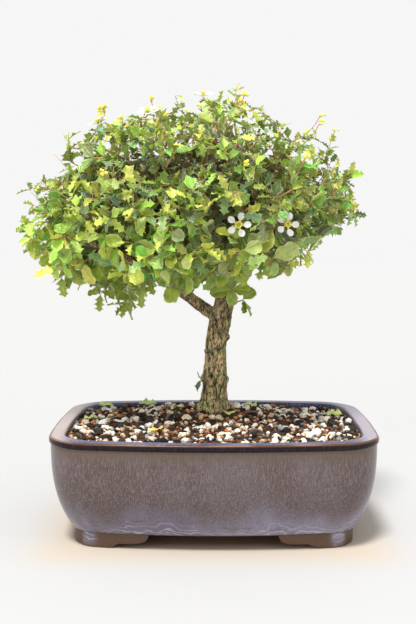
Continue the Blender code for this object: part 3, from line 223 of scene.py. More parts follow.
BARE_TWIG_TIPS = (
    (0.0475, -0.050, 0.2415),
    (0.0855, 0.004, 0.2475),
    (0.094, 0.008, 0.210),
    (0.0125, 0.008, 0.2915),
    (-0.0665, -0.0405, 0.2435),
    (-0.0115, -0.021, 0.1575),
)
KNOBS = (  # on the trunk: place and radius
    ((-0.0072, 0.007, 0.0993), 0.0024),
    ((0.0088, 0.008, 0.0985), 0.0021),
    ((0.0094, 0.007, 0.1283), 0.0022),
    ((-0.0055, 0.003, 0.119), 0.0016),
    ((0.0035, 0.0165, 0.106), 0.0022),
)
KNOB_HEIGHT = 1.25  # as a share of its radius
BARK_VOXEL = 0.0007
TWIG_ROUGHNESS = 0.13
TWIG_LUMPS = 500
TWIG_MARK = (0.1, 0.0, 0.1)  # how fissured and how mossy the twigs are
PLAIN = (1.0, 1.0, 1.0)  # for the pieces whose colour comes from their material alone
FISSURE_DEPTH = 0.0008
FISSURE_SCALE = (520, 520, 170)
FISSURE_BROAD_SHARE = 0.45  # the scale of the broad fissures, as a share of the fine ones'
FISSURE_BROAD_PLACE = Vector((7.0, 3.0, 1.0))
FISSURE_NARROWNESS = (3.4, 3.2)
FISSURE_SHARES = (0.6, 0.5)
FISSURE_LEVEL = 0.35  # how deep the bark's surface is where it stays at the trunk's own radius
SMOOTHER_ABOVE = 0.15  # the height above which the bark gets smoother
SMOOTHER_OVER = 0.06
SMOOTHEST = 0.25
BARK_SOFTENING = (0.5, 4)  # strength and rounds
TRUNK_FINE_STEPS = 5
TRUNK_FINE_SIDES = 4
LIMB_FINE_SIDES = 16
LIMB_FINE_STEPS = 6
TWIG_FINE_SIDES = 8
TWIG_FINE_STEPS = 5
MOSS_BASE = 0.25
MOSS_RIGHT = 1.1
MOSS_FOOT = 0.8
MOSS_TOP = 0.15
MOSS_TRUNK_TOP = 0.165
MOSS_ON_LIMBS = 0.3
MOSS_FOOT_Z = 0.080
MOSS_FOOT_FADE = 0.016

# Canopy: half an ellipsoid above its middle, with a low peak, and a shallower half below that rises to
# the right
CANOPY_MIDDLE = Vector((-0.0175, 0.006, 0.216))
CANOPY_HALF_X = 0.116
CANOPY_HALF_Y = 0.092
CANOPY_UP = 0.072
CANOPY_PEAK = 0.009
CANOPY_PEAK_X = 0.012
CANOPY_PEAK_WIDTH = 0.016
CANOPY_DOWN = 0.060
CANOPY_DOWN_SLOPE = 0.16  # by which the lower half loses height to the right
CANOPY_LEAN = 0.05
CANOPY_OVERSHOOT = 0.005

# Sprays
SPRAY_COUNT = 24
SPRAY_LOWEST = -0.80
SPRAY_BASE_SHARE = 0.56
SPRAY_TURN = math.radians(36)
SHOOT_RADIUS = 0.00078
SIDE_SHOOT_RADIUS = 0.00068
JOINT_LENGTH = 0.0009
JOINT_SPACING = 0.0136
FIRST_JOINT = 0.004
SIDE_FIRST_JOINT = 0.008
LONGEST_SHOOT = 0.042
SIDE_SHOOT_JOINTS = 2
SIDE_SHOOT_LENGTH = (0.010, 0.018)
SHORTEST_SIDE_SHOOT = 0.007
TIP_ROOM = 0.0075
SHOOT_TRIES = 12
SHOOT_BEND = 0.12
SHOOT_RISE = 0.3
SPRAY_LIFT = 0.008
SHOOT_CLEAR_OF_BASE = 0.0023
SIDE_SHOOT_ANGLE = math.radians(54)

# Leaves: (spine, notch) pairs as in the solids, to keep the leaves where they are there
SPINY = (((0.42, 0.36), (0.58, 0.19)), ((0.80, 0.33), None))
SMALL = (((0.52, 0.36), (0.70, 0.15)), (None, None))
ROUNDED = (((0.55, 0.37), (0.76, 0.34)), ((0.93, 0.22), None))
LEAF_LENGTH = (0.0125, 0.0165)
SMALL_LEAF_LENGTH = (0.0100, 0.0130)
SMALL_LEAF_SHARE = 0.34
LOW_LEAF_LENGTH = (0.0145, 0.0185)
LOW_LEAF_Z = 0.205
TOP_LEAF_Z = (0.235, 0.275)
TOP_LEAF_SHARE = 0.74
LEAF_THICKNESS = 0.0007
LEAF_ROOT_HALF_WIDTH = 0.00055
LEAF_FOLD = 0.28
LEAF_DROOP = 0.10
LEAF_ANGLE = math.radians(58)
TIP_LEAF_AHEAD = 3  # how much more a leaf at a tip points ahead than up
LEAF_TRIES = 12
LEAF_SPREAD = 0.10
SPREAD_PER_TRY = 0.05
SHRINK_PER_TRY = 0.03
LEAF_TO_SKY = 0.8
LEAF_TO_OUTSIDE = 0.7
LEAF_TO_STEM = 0.4
LEAF_WAVER = 0.3
CLEARANCE = 0.00045
LEAF_REACH = 0.62
ROOT_SHARE = 0.20

# Leaves with more spines, drawn between the others
PRICKLY = (((0.30, 0.29), (0.42, 0.17)), ((0.56, 0.33), (0.68, 0.16)), ((0.83, 0.26), None))

# The edges of the drawn leaves: (share of the length, half width as a share of the length) from root to tip
EDGES = {
    PRICKLY: ((0.0, 0.028), (0.08, 0.05), (0.18, 0.15), (0.25, 0.22), (0.31, 0.31), (0.35, 0.215),
              (0.42, 0.160), (0.50, 0.225), (0.57, 0.345), (0.60, 0.235), (0.68, 0.145), (0.76, 0.18),
              (0.84, 0.28), (0.87, 0.16), (0.93, 0.08), (1.0, 0.0)),
    SPINY: ((0.0, 0.028), (0.07, 0.05), (0.16, 0.16), (0.27, 0.25), (0.37, 0.315), (0.43, 0.375),
            (0.47, 0.29), (0.55, 0.215), (0.63, 0.205), (0.71, 0.245), (0.80, 0.345), (0.83, 0.235),
            (0.89, 0.115), (1.0, 0.0)),
    SMALL: ((0.0, 0.03), (0.08, 0.05), (0.20, 0.17), (0.34, 0.26), (0.45, 0.31), (0.53, 0.37),
            (0.58, 0.26), (0.68, 0.17), (0.80, 0.12), (0.90, 0.06), (1.0, 0.0)),
    ROUNDED: ((0.0, 0.03), (0.07, 0.055), (0.17, 0.19), (0.29, 0.29), (0.42, 0.345), (0.56, 0.38),
              (0.62, 0.345), (0.70, 0.335), (0.78, 0.345), (0.85, 0.29), (0.92, 0.225), (0.96, 0.12),
              (1.0, 0.0)),
}
BLADE_COLUMNS = (-1.0, -0.5, 0.0, 0.5, 1.0)
EDGE_WAVE = 0.035
EDGE_WAVES = 2.2
WAVE_SKEW = 1.5
SPINE_LIFT = 0.03
SPINE_WIDTH = 0.05
LEAF_TWIST = 0.08
BLADE_BULGE = 0.06

# The shoots and leaves that the solids leave out
FILL_SEED = 12
FILL_MARGIN = 0.00006  # kept clear on each face of a blade
FILL_AIMS = 2720  # places over the canopy that a shoot is sent to
FILL_AIM_SHARES = (0.38, 0.97)  # how far out they are, from the canopy's middle to its outline
FILL_AIM_POWER = 1.6  # more of them lie near the outline
FILL_REACH = 0.99
FILL_LUMPS = (26, 70)  # how close together the outline's broad and fine lumps are
FILL_LUMP_HEIGHTS = (0.08, 0.11)
# Broad swells and dents: the way to each in the front view, how wide it is, and by how much it goes out
FILL_CHANGES = (
    ((-1.0, 0.05), 0.45, -0.07),  # the left edge
    ((-0.85, 0.55), 0.35, -0.11),  # the left shoulder
    ((-0.75, -0.60), 0.22, -0.05),
    ((-0.34, -0.94), 0.16, 0.22),  # the cluster that hangs low at the left
    ((-0.22, 0.97), 0.17, -0.08),
    ((0.60, 0.80), 0.28, -0.12),  # the right shoulder
    ((0.55, -0.83), 0.18, 0.10),
    ((0.72, -0.70), 0.16, -0.10),
    ((0.95, -0.30), 0.12, 0.06),
)
FILL_LUMP_PLACE = Vector((3.0, 0.0, 1.0))
FREE_EVERY = 64  # one in so many of the aims is for a shoot that stands out beyond the others
FREE_SHARES = (0.98, 1.05)
FREE_LIMIT = 1.09
FREE_TIPS = (
    (-0.1275, -0.002, 0.227),
    (-0.1240, 0.000, 0.217),
    (-0.074, -0.002, 0.279),
    (0.094, 0.004, 0.240),
    (0.096, 0.004, 0.214),
    (0.082, 0.004, 0.262),
)
FREE_TIP_LIMIT = 1.17
FILL_HOLLOWS = (24, 24, 52)  # how close together the hollows between the leaf layers are, along each axis
FILL_HOLLOW_LEVEL = -0.02  # the noise below which there is a hollow
FILL_HOLLOW_DEPTH = 0.96  # share of the way out that hollows reach to
FILL_HOLLOW_FLOOR = 0.55  # share of the way out that they reach in to
FILL_AIM_LOWEST = -0.88
FILL_AIM_JITTER = 0.05
FILL_LEAF_TRIES = 5
FILL_ROUNDED_SHARE = 0.5  # of the low leaves
FILL_SMALL_SHARE = 0.3
FILL_OVERSHOOT = 0.004
FILL_LENGTH = (0.005, 0.030)
FILL_STEM_STEP = 0.003  # between the places on a stem that a shoot may leave it from
FILL_SPACING = 0.0045
FILL_FIRST_JOINT = FILL_SPACING * 0.7
FILL_BEND = 0.25
FILL_RISE = 0.2
FEWEST_FILL_LEAVES = 2
FILL_RADIUS = 0.00036
FILL_LIFT = 0.35  # how much further a shoot rises than straight to its place
FILL_START = 0.5  # how far out from a stem's middle a shoot begins, as a share of the stem's radius
TREE_EVERY = 150  # so many shoots are tried between two looks for new stems to grow from
FILL_TO_SKY = 1.1
FILL_TO_OUTSIDE = 0.45
FILL_WAVER = 0.62
FILL_FOLD = (0.15, 0.50)
FILL_DROOP = (-0.05, 0.32)
FILL_LEAF_SIZES = ((0.150, 0.0100, 0.0160), (0.215, 0.0080, 0.0125), (0.290, 0.0055, 0.0090))

# Leaf colours: painted shade deep inside, shaded green, common green, olive, lit lime, young, bluish, dull
LEAF_SHADE = (0.075, 0.046, 0.018)
LEAF_SHADED_GREEN = (0.044, 0.092, 0.012)
LEAF_GREEN = (0.165, 0.310, 0.020)
LEAF_OLIVE = (0.360, 0.370, 0.070)
# also the lit end of the painted light on leaves; sprouts and buds take it as a plain lime
LEAF_LIME = (0.480, 0.600, 0.075)
LEAF_YOUNG = (0.850, 0.820, 0.110)
LEAF_BLUE = (0.060, 0.150, 0.095)
LEAF_GREY = (0.230, 0.280, 0.150)
LEAF_BRIGHTEST = 0.88
# Painted light and shade on a leaf: its base, and what it adds outside, above, below, left and right of the
# middle
PAINTED_LIGHT_BASE = 0.38
PAINTED_LIGHT_OUTSIDE = 0.28
PAINTED_LIGHT_ABOVE = 0.25
PAINTED_LIGHT_BELOW = 1.2
PAINTED_LIGHT_LEFT = 0.35
PAINTED_LIGHT_RIGHT = -0.15
LIGHT_SPREAD = 0.34
DEEP_INSIDE = 0.60  # the share of the way out below which a leaf is in full shade
# How fast the painted light greens a leaf, its olive share, where the painted light turns it lime, and the
# painted shade inside
GREEN_RISE = 2.2
OLIVE_SHARES = (-0.6, 0.8)
LIME_FROM = 0.45
LIME_RISE = 1.5
SHADE_SHARE = 0.80
SHADE_FALL = 1.35
HUE_SHIFT = (0.40, 0.95)  # the middle and the spread
# What a leaf's red and blue lose as it gets greener, and its red gains and its green loses as it gets browner
GREENER_RED = 0.24
GREENER_BLUE = 0.10
BROWNER_RED = 0.08
BROWNER_GREEN = 0.12
LEAST_RED = 0.25
LEAST_BLUE = 0.6
LEAST_GREEN = 0.6
STRENGTH = 0.05  # of the colour, as a power of e, with what is added low down and its spread
# painted light from the floor, added to the strength of the low leaves
PAINTED_FLOOR_BOUNCE = 0.95
STRENGTH_SPREAD = 0.42
# The chances of odd leaves, and how much of their colour they take
DULL_LOW_CHANCE = 0.75  # for the round leaves low down
DULL_LOW_LEFT = 0.25  # as far left as they grow
DULL_LOW_SHARES = (0.4, 0.9)
BLUE_CHANCE = 0.10
BLUE_SHARES = (0.6, 1.0)
DULL_CHANCE = 0.17
DULL_SHARE = 0.6
YOUNG_CHANCE = 0.78
YOUNG_FROM = 0.4
YOUNG_SHARES = (0.3, 0.9)
SPROUT_SHARES = (0.2, 0.9)
SPROUT_TOP = 0.172  # leaves below this are the trunk's
LOW_SPROUT_TOP = 0.12
OUTERMOST = 1.12
STEM_OLD = (0.22, 0.11, 0.05)
STEM_YOUNG = (0.56, 0.25, 0.09)
STEM_STEPS = 3
STEM_SIDES = 6
STEM_SWELL = 1.12
STEM_WAIST = 0.92
STEM_TAPER = 0.45

# Clusters of yellow buds on reddish stalks, beyond the leaves
BUD_CHANCE = 0.16  # for a fine shoot that ends near the outline and above the middle
BUD_FROM = 0.90
BUD_LIFT = 0.012
BUD_STALK = (0.0045, 0.0085)
BUD_STALK_RADIUS = 0.0003
BUD_COUNT = (3, 6)
BUD_RADIUS = (0.0008, 0.0013)
BUD_SPREAD = 0.0008
BUD_STALK_WAVER = 0.0004
BUD_GREENEST = 0.4
EGG_LENGTH = 1.2  # of a bud or an anther, as a share of its width
BUD_COLOUR = (0.85, 0.76, 0.10)
BUD_STEM_COLOUR = (0.60, 0.20, 0.07)

# Flowers: where they open, and the way they face
FLOWERS = (
    ((-0.0075, 0.004, 0.2935), (0.0, -0.3, 1.0)),
    ((-0.075, -0.0015, 0.281), (-0.3, -0.2, 1.0)),
    ((0.0735, 0.002, 0.271), (0.5, -0.1, 1.0)),
    ((-0.0385, -0.031, 0.281), (-0.1, -0.5, 1.0)),
    ((0.0065, -0.085, 0.197), (0.0, -1.0, 0.1)),
    ((0.050, -0.0675, 0.2025), (0.3, -1.0, 0.2)),
    ((-0.1345, -0.0015, 0.222), (-1.0, -0.2, 0.3)),
    ((-0.0305, 0.072, 0.271), (-0.1, 0.6, 1.0)),
    ((0.0385, 0.0855, 0.2315), (0.4, 1.0, 0.4)),
    ((-0.0825, 0.0855, 0.217), (-0.6, 1.0, 0.2)),
)
PETAL_COUNT = 5
FLOWER_RADIUS = 0.0078
FLOWER_DEPTH = 0.0045
FLOWER_ROOM = (0.7, 1.05)
FLOWER_STEP = 0.001
PETAL_THICKNESS = 0.0006
PETAL_EDGE = ((0.12, 0.05), (0.30, 0.055), (0.42, 0.10), (0.54, 0.21), (0.68, 0.27), (0.82, 0.27),
              (0.94, 0.19), (1.0, 0.06))
PETAL_CUP = 0.25
PETAL_FRILL = 0.035
PETAL_FRILLS = (7, 5)  # how close together the waves are, across a petal and along it
PETAL_ROOT_REACH = 0.001  # nearer to the middle than this, a petal narrows as its root does
PETAL_CURL = 0.06
PETAL_CUP_FROM = 0.2  # the share of the radius at which the petals begin to rise
FLOWER_HEART_LIFT = 0.0006
FLOWER_HEART_COLOUR = (0.40, 0.52, 0.08)
STAMEN_COLOUR = (0.80, 0.80, 0.30)
ANTHER_COLOUR = (0.90, 0.78, 0.06)
STAMEN_ROOT = 0.6  # how far out a stamen stands, as a share of the heart's radius
STAMEN_SPREADS = (0.8, 1.15)
STAMEN_LENGTHS = (0.85, 1.1)
STAMEN_COUNT = 10
STAMEN_LENGTH = 0.0024
STAMEN_SPREAD = 0.0017
STAMEN_RADIUS = 0.00016
ANTHER_RADIUS = 0.00062
FLOWER_HEART_RADIUS = 0.0012
STALK_RADIUS = 0.0006
LONGEST_STALK = 0.014
STALK_BEND = 0.1
STALK_BEND_SHARE = 0.6

# Sprouts on the trunk: name, height, the way they leave the trunk, length, and their leaves as (way, length)
SPROUT_FACE_RISE = 0.5
SPROUTS = (
    ("sprout_front", 0.162, (0.05, -1.0, 0.0), 0.006,
     (((-1.0, -0.25, -0.12), 0.0150), ((1.0, -0.30, 0.0), 0.0130), ((0.05, -0.3, 1.0), 0.0105),
      ((0.05, -0.3, -1.0), 0.0110))),
    ("sprout_right", 0.152, (1.0, -0.25, 0.35), 0.007,
     (((0.75, -0.3, 0.65), 0.0115), ((0.55, -0.2, -1.0), 0.0120), ((0.05, -0.5, -1.0), 0.0100))),
    ("sprout_low", 0.099, (-0.85, -0.60, 0.10), 0.0030,
     (((-0.30, -0.6, -0.75), 0.0095), ((-0.35, -0.5, 0.75), 0.0070))),
)
FALLEN_LEAVES = (  # the way each leaf points, in degrees, its length and its colour
    (20, 0.0135, (0.55, 0.72, 0.12)),
    (200, 0.0125, (0.60, 0.66, 0.20)),
    (10, 0.0135, (0.48, 0.62, 0.17)),
    (70, 0.0125, (0.85, 0.68, 0.06)),
    (160, 0.0140, (0.55, 0.72, 0.18)),
    (95, 0.0125, (0.75, 0.82, 0.15)),
    (330, 0.0135, (0.55, 0.70, 0.15)),
    (150, 0.0130, (0.62, 0.76, 0.18)),
)
FALLEN_LIFT = 0.0012
FALLEN_RISE = 0.05
FALLEN_TILT = 0.15
FALLEN_LEAN = 0.1  # to the front

# Stage
BACKGROUND = (0.922, 0.922, 0.922)
FLOOR_COLOURS = ((0.419, 0.420, 0.427), (0.427, 0.428, 0.435))
FLOOR_FAR = (0.398, 0.399, 0.404)
FLOOR_WARM = (0.450, 0.380, 0.300)  # close to the pot, whose brown glaze it reflects
FLOOR_PAINTED_SHADOW = (0.330, 0.190, 0.120)  # painted shadow under the pot
FLOOR_GLOW = 0.055  # how far from the pot the warm light reaches
POT_BASE_HALF = (0.093, 0.066)  # half the length and width of the pot's foot
LIGHTS = (  # name, the way it comes from, strength, how wide it is, and its colour
    ("key", (-0.16, -0.42, 1.0), 4.4, math.radians(12), (1.0, 0.985, 0.95)),
    ("side", (0.90, -0.45, 0.55), 0.6, math.radians(60), (1.0, 1.0, 1.0)),
    ("front", (-0.60, -1.0, 0.06), 1.05, math.radians(60), (1.0, 0.985, 0.96)),
)
FLOOR_FAR_Y = (0.0, 0.35)  # from where to where the floor turns to the far colour
FLOOR_WARMTH = 0.8
FLOOR_UNDER_POT = (-0.018, -0.006)  # how far in under the pot's edge the painted shadow fades out
FLOOR_SHADOW_STRENGTH = 0.9
FLOOR_HALF = 6.0
FLOOR_DROP = 0.0001

# Noise textures: stretch along each axis, scale, detail, roughness and distortion
NOISE_RANGE = (0.3, 0.7)  # the levels that a noise mostly stays between
EVEN = (1.0, 1.0, 1.0)
TEXTURES = {
    "leaf_blotches": (EVEN, 260, 3.0, 0.5, 0.0),
    "leaf_bulges": (EVEN, 750, 2.0, 0.5, 0.0),
    "stem_specks": (EVEN, 1500, 2.0, 0.5, 0.0),
    "bark_ridges": ((1.0, 1.0, 0.32), 1200, 6.0, 0.7, 0.6),
    "bark_patches": (EVEN, 140, 4.0, 0.6, 0.0),
    "bark_threads": ((1.0, 1.0, 0.22), 2300, 3.0, 0.6, 0.0),
    "moss": (EVEN, 260, 4.0, 0.5, 0.0),
    "glaze_streaks": ((1.0, 1.0, 0.12), 1700, 4.0, 0.6, 0.0),
    "glaze_specks": ((1.0, 1.0, 0.7), 2100, 3.0, 0.6, 0.0),
    "glaze_clouds": ((1.0, 1.0, 0.5), 32, 3.0, 0.55, 0.0),
    "glaze_wander": ((1.0, 1.0, 0.6), 38, 2.0, 0.5, 0.0),
    "glaze_patches": ((0.6, 1.0, 1.6), 95, 3.0, 0.6, 0.0),
    "soil_grain": (EVEN, 1900, 4.0, 0.65, 0.0),
    "petal_veins": (EVEN, 900, 2.0, 0.5, 0.0),
    "stamen_grain": (EVEN, 3500, 2.0, 0.5, 0.0),
    "floor_grain": (EVEN, 900, 2.0, 0.5, 0.0),
}
# Layers over a colour: the levels between which they come in, how strong they get, and their colour
LAYERS = {
    "leaf_blotches": (0.35, 0.70, 0.35, (0.02, 0.05, 0.01)),
    "stem_specks": (0.50, 0.75, 0.50, (0.55, 0.42, 0.25)),
    "bark_patches": (0.45, 0.70, 0.50, (0.72, 0.57, 0.34)),
    "bark_dark_threads": (0.52, 0.62, 0.70, (0.035, 0.020, 0.009)),
    "bark_pale_threads": (0.42, 0.36, 0.70, (0.84, 0.74, 0.50)),
    "wall_streaks": (0.44, 0.60, 0.75, (0.165, 0.128, 0.143)),
    "wall_specks": (0.48, 0.60, 0.80, (0.042, 0.024, 0.016)),
    "wall_under_rim": (0.0560, 0.0655, 0.75, (0.082, 0.052, 0.032)),
    "blue_specks": (0.48, 0.62, 0.45, (0.080, 0.065, 0.080)),
    "blue_patches": (0.52, 0.68, 0.60, (0.120, 0.085, 0.080)),
    "rim_shoulder": (0.0698, 0.0703, 1.0, (0.080, 0.034, 0.018)),
    "rim_top_specks": (0.48, 0.64, 0.80, (0.220, 0.215, 0.340)),
    # painted reflections on the rim's top at its left and right ends
    "painted_reflection_left_rim": (-0.080, -0.094, 0.75, (0.430, 0.350, 0.310)),
    "painted_reflection_right_rim": (0.096, 0.108, 0.55, (0.420, 0.370, 0.400)),
    "soil_grain": (0.48, 0.62, 0.60, (0.10, 0.06, 0.04)),
    "petal_veins": (0.50, 0.70, 0.15, (0.85, 0.72, 0.74)),
    "stamen_grain": (0.40, 0.70, 0.35, (0.55, 0.36, 0.02)),
}
# Blends of two colours: the levels at which each of them is pure, and the two
BLENDS = {
    "bark": (0.41, 0.54, (0.040, 0.021, 0.009), (0.76, 0.52, 0.265)),
    "moss": (0.38, 0.60, (0.08, 0.078, 0.020), (0.64, 0.66, 0.25)),
    "wall": (0.38, 0.62, (0.070, 0.042, 0.034), (0.102, 0.074, 0.076)),
    "blue": (0.40, 0.65, (0.150, 0.140, 0.215), (0.245, 0.238, 0.350)),
    # the rim's outer face: dark glaze, painted darker still as the shade under the lip
    "rim_side": (0.42, 0.70, (0.009, 0.005, 0.006), (0.026, 0.018, 0.026)),
    "rim_top": (0.40, 0.62, (0.012, 0.016, 0.050), (0.060, 0.060, 0.130)),
    "fired_clay": (0.40, 0.65, (0.052, 0.023, 0.010), (0.098, 0.048, 0.024)),
}
BUMPS = {  # strength and depth
    "leaf": (0.7, 0.0004),
    "stem": (0.3, 0.0003),
    "bark": (1.0, 0.0011),
    "glaze": (0.14, 0.0003),
    "soil": (1.0, 0.0007),
    "petal": (0.2, 0.0003),
    "stamens": (0.3, 0.0002),
}

# The leaf's surface, with widths as shares of the half width
MIDRIB_WIDTH = 0.13
MARGIN_FROM = 0.72
VEIN_COUNT = 7.0
VEIN_SLANT = 2.2
VEIN_WIDTH = 0.22
VEIN_GROOVE = 0.5  # how deep the veins are, as a share of the midrib's depth
LEAF_PALE = (0.95, 0.87, 0.50)
LEAF_PALENESS = 0.50
LEAF_LINE_SHARES = (0.18, 0.6, 0.75)  # how pale the veins, the midrib and the margin are; the margin's pale is partly a painted highlight
LEAF_BULGE = 2.5
LEAF_ROUGHNESS = (0.16, 0.30)
LEAF_GLOW = (0.70, 0.80, 0.12)
LEAF_THROUGH = 0.14  # the share of light that passes through
PETAL_WHITE = (0.90, 0.89, 0.86)
PETAL_CLAW = (0.82, 0.84, 0.62)
PETAL_CLAW_REACH = (0.1, 0.5)  # between which it fades out, along the petal
PETAL_CLAW_STRENGTH = 0.5
PETAL_THROUGH = 0.25

# The bark's and the glaze's surface
BARK_FISSURE = (0.018, 0.012, 0.007)
MOSS_LEVELS = (0.38, 0.60)
BAND_Z = (0.012, 0.034)  # between which the blue band fades out
BAND_WANDER = 0.005
BAND_STRENGTH = 0.85
LINES_Z = (0.011, 0.022)  # between which the pale lines fade out
LINE_FROM = 0.40  # the level of a sine wave above which there is a line
LINE_WANDER = 0.003
LINE_CLOSENESS = 1900.0
LINE_STRENGTH = 0.6
LINE_COLOUR = (0.42, 0.41, 0.50)
# A painted highlight along the rim's upper round: its heights, the cloud levels that break it up, its
# strength and colour
RIM_EDGE_Z = (0.0703, 0.0707)
RIM_EDGE_CLOUDS = (0.40, 0.60)
RIM_EDGE_STRENGTH = 0.5
PAINTED_RIM_HIGHLIGHT = (0.32, 0.18, 0.11)
FRONT_RIM_Y = (-0.070, -0.077)
FRONT_RIM_DULLNESS = 0.75
GLAZE_GLOSS = (0.60, 0.14)  # of the wall and of the rim's side
GLAZE_ROUGHNESS = (0.22, 0.50)  # of the glaze and of the bare clay


@dataclass
class Tube:
    """A stem along a path, with its radius at each point."""

    points: list
    radii: list
    sides: int


@dataclass
class Leaf:
    """One blade: where its root is, the way it points, the way its face looks, its size and its outline."""

    root: Vector
    along: Vector
    normal: Vector
    length: float
    outline: tuple
    fold: float = LEAF_FOLD
    droop: float = LEAF_DROOP


@dataclass
class Joint:
    """A place on a stem, its axes, and what grows from each of its four faces."""

    middle: Vector
    axes: tuple  # tangent, side, up
    growth: dict = field(default_factory=dict)


@dataclass
class Shoot:
    """A stem from joint to joint, and what grows at its tip."""

    start: Vector
    axes: tuple
    radius: float
    joints: list
    tip: object = None


@dataclass
class Obstacle:
    """Something that a leaf has to stay clear of: the whole of it, and the part away from its root."""

    owner: str
    middle: Vector
    reach: float
    whole: BVHTree
    outer: BVHTree


class Room:
    """The obstacles, found by the cells of a grid that they reach into."""

    CELL = 0.012

    def __init__(self):
        self.cells = {}

    def cells_of(self, obstacle):
        low = [math.floor((c - obstacle.reach) / self.CELL) for c in obstacle.middle]
        high = [math.floor((c + obstacle.reach) / self.CELL) for c in obstacle.middle]
        return [
            (i, j, k)
            for i in range(low[0], high[0] + 1)
            for j in range(low[1], high[1] + 1)
            for k in range(low[2], high[2] + 1)
        ]

    def add(self, obstacles):
        for obstacle in obstacles:
            for cell in self.cells_of(obstacle):
                self.cells.setdefault(cell, []).append(obstacle)

    def is_clear(self, candidate):
        """True if a shape meets nothing, apart from its own spray near its root."""
        seen = set()
        for cell in self.cells_of(candidate):
            for other in self.cells.get(cell, ()):
                if id(other) in seen:
                    continue
                seen.add(id(other))
                if (candidate.middle - other.middle).length > candidate.reach + other.reach:
                    continue
                own = candidate.owner == other.owner
                mine, theirs = (candidate.outer, other.outer) if own else (candidate.whole, other.whole)
                if mine.overlap(theirs):
                    return False
        return True

    def all_clear(self, candidates):
        return all(self.is_clear(candidate) for candidate in candidates)


# Paths and axes


def curve_points(a, b, c, d, steps):
    """Points from the second towards the third of four on the smooth curve through them."""
    found = []
    for step in range(steps):
        t = step / steps
        square = (2 * a - 5 * b + 4 * c - d) * t**2
        cube = (3 * b - a - 3 * c + d) * t**3
        found.append(0.5 * (2 * b + (c - a) * t + square + cube))
    return found


def smooth_path(points, steps):
    """Points along one smooth curve through the given points."""
    ends = [points[0] * 2 - points[1], *points, points[-1] * 2 - points[-2]]
    path = []
    for four in zip(ends, ends[1:], ends[2:], ends[3:]):
        path += curve_points(*four, steps)
    return [*path, points[-1].copy()]


def smooth_ring(points, steps):
    """Points round one smooth closed curve through the given points."""
    count = len(points)
    wrapped = [points[k % count] for k in range(-1, count + 2)]
    ring = []
    for four in zip(wrapped, wrapped[1:], wrapped[2:], wrapped[3:]):
        ring += curve_points(*four, steps)
    return ring


def perpendicular(vector, to):
    """The part of a vector at right angles to another, as a unit vector."""
    axis = to.normalized()
    rest = vector - axis * vector.dot(axis)
    if rest.length < 1e-6:
        rest = axis.orthogonal()
    return rest.normalized()


def axes_along(tangent, side):
    """The (tangent, side, up) axes for a heading, with the side as near as it can be to the one given."""
    side = perpendicular(side, tangent)
    return tangent, side, tangent.cross(side)


def face_ways(axes):
    """The ways that the four faces of a square stem look."""
    _, side, up = axes
    return (up, -side, -up, side)


def path_axes(points):
    """The axes at each point of a path, turned as little as possible from one to the next."""
    found = []
    side = FIRST_SIDE.copy()
    for i in range(len(points)):
        before = points[max(i - 1, 0)]
        after = points[min(i + 1, len(points) - 1)]
        found.append(axes_along((after - before).normalized(), side))
        side = found[-1][1]
    return found


def canopy_half_height(x, above):
    """The height of the canopy's upper or lower half at a distance along X."""
    if above:
        return CANOPY_UP + CANOPY_PEAK * math.exp(-(((x - CANOPY_PEAK_X) / CANOPY_PEAK_WIDTH) ** 2))
    return CANOPY_DOWN - CANOPY_DOWN_SLOPE * (x - CANOPY_MIDDLE.x)


def ellipse_share(point):
    """How far a point is from the canopy's middle, as a share of the way to its outline."""
    offset = point - CANOPY_MIDDLE
    offset.z -= CANOPY_LEAN * offset.x
    half_z = canopy_half_height(point.x, offset.z > 0)
    return Vector((offset.x / CANOPY_HALF_X, offset.y / CANOPY_HALF_Y, offset.z / half_z)).length


def canopy_point(direction, share):
    """The point at that share of the way from the canopy's middle to its outline."""
    offset = Vector((CANOPY_HALF_X * direction.x, CANOPY_HALF_Y * direction.y, 0.0)) * share
    half_z = canopy_half_height(CANOPY_MIDDLE.x + offset.x, direction.z > 0)
    offset.z = half_z * direction.z * share + CANOPY_LEAN * offset.x
    return CANOPY_MIDDLE + offset


def unevenness(way):
    """How far out the fine leaves reach in a direction, as a share of the way to the smooth outline."""
    place = canopy_point(way, 1.0)
    broad = noise.noise(place * FILL_LUMPS[0] + FILL_LUMP_PLACE)
    fine = noise.noise(place * FILL_LUMPS[1])
    reach = FILL_REACH + FILL_LUMP_HEIGHTS[0] * broad + FILL_LUMP_HEIGHTS[1] * fine
    for (x, z), width, change in FILL_CHANGES:
        reach += change * math.exp(-((math.hypot(way.x - x, way.z - z) / width) ** 2))
    return reach


def fine_share(point):
    """How far a point is from the canopy's middle, as a share of the way to its uneven outline."""
    offset = point - CANOPY_MIDDLE
    offset.z -= CANOPY_LEAN * offset.x
    half_z = canopy_half_height(point.x, offset.z > 0)
    way = Vector((offset.x / CANOPY_HALF_X, offset.y / CANOPY_HALF_Y, offset.z / half_z))
    return way.length / unevenness(way.normalized())


def room_ahead(point, direction, step=0.001):
    """The distance from a point to the canopy's outline, going that way."""
    distance = 0.0
    while distance < CANOPY_HALF_X and ellipse_share(point + direction * (distance + step)) < 1:
        distance += step
    return distance


def scatter(rng, spread):
    return Vector([rng.gauss(0, spread) for _ in range(3)])


def blend(a, b, share):
    """A colour between two others."""
    share = min(max(share, 0.0), 1.0)
    return tuple(x + (y - x) * share for x, y in zip(a, b))


# Wood


def tapered(path, radii, sides):
    thick, thin = radii
    count = len(path) - 1
    return Tube(path, [thick + (thin - thick) * i / count for i in range(count + 1)], sides)


def limb_tubes():
    tubes = []
    for route, thick, thin in LIMBS:
        path = smooth_path([Vector(place) for place in route], LIMB_STEPS)
        tubes.append(tapered(path, (thick, thin), LIMB_SIDES))
    return tubes


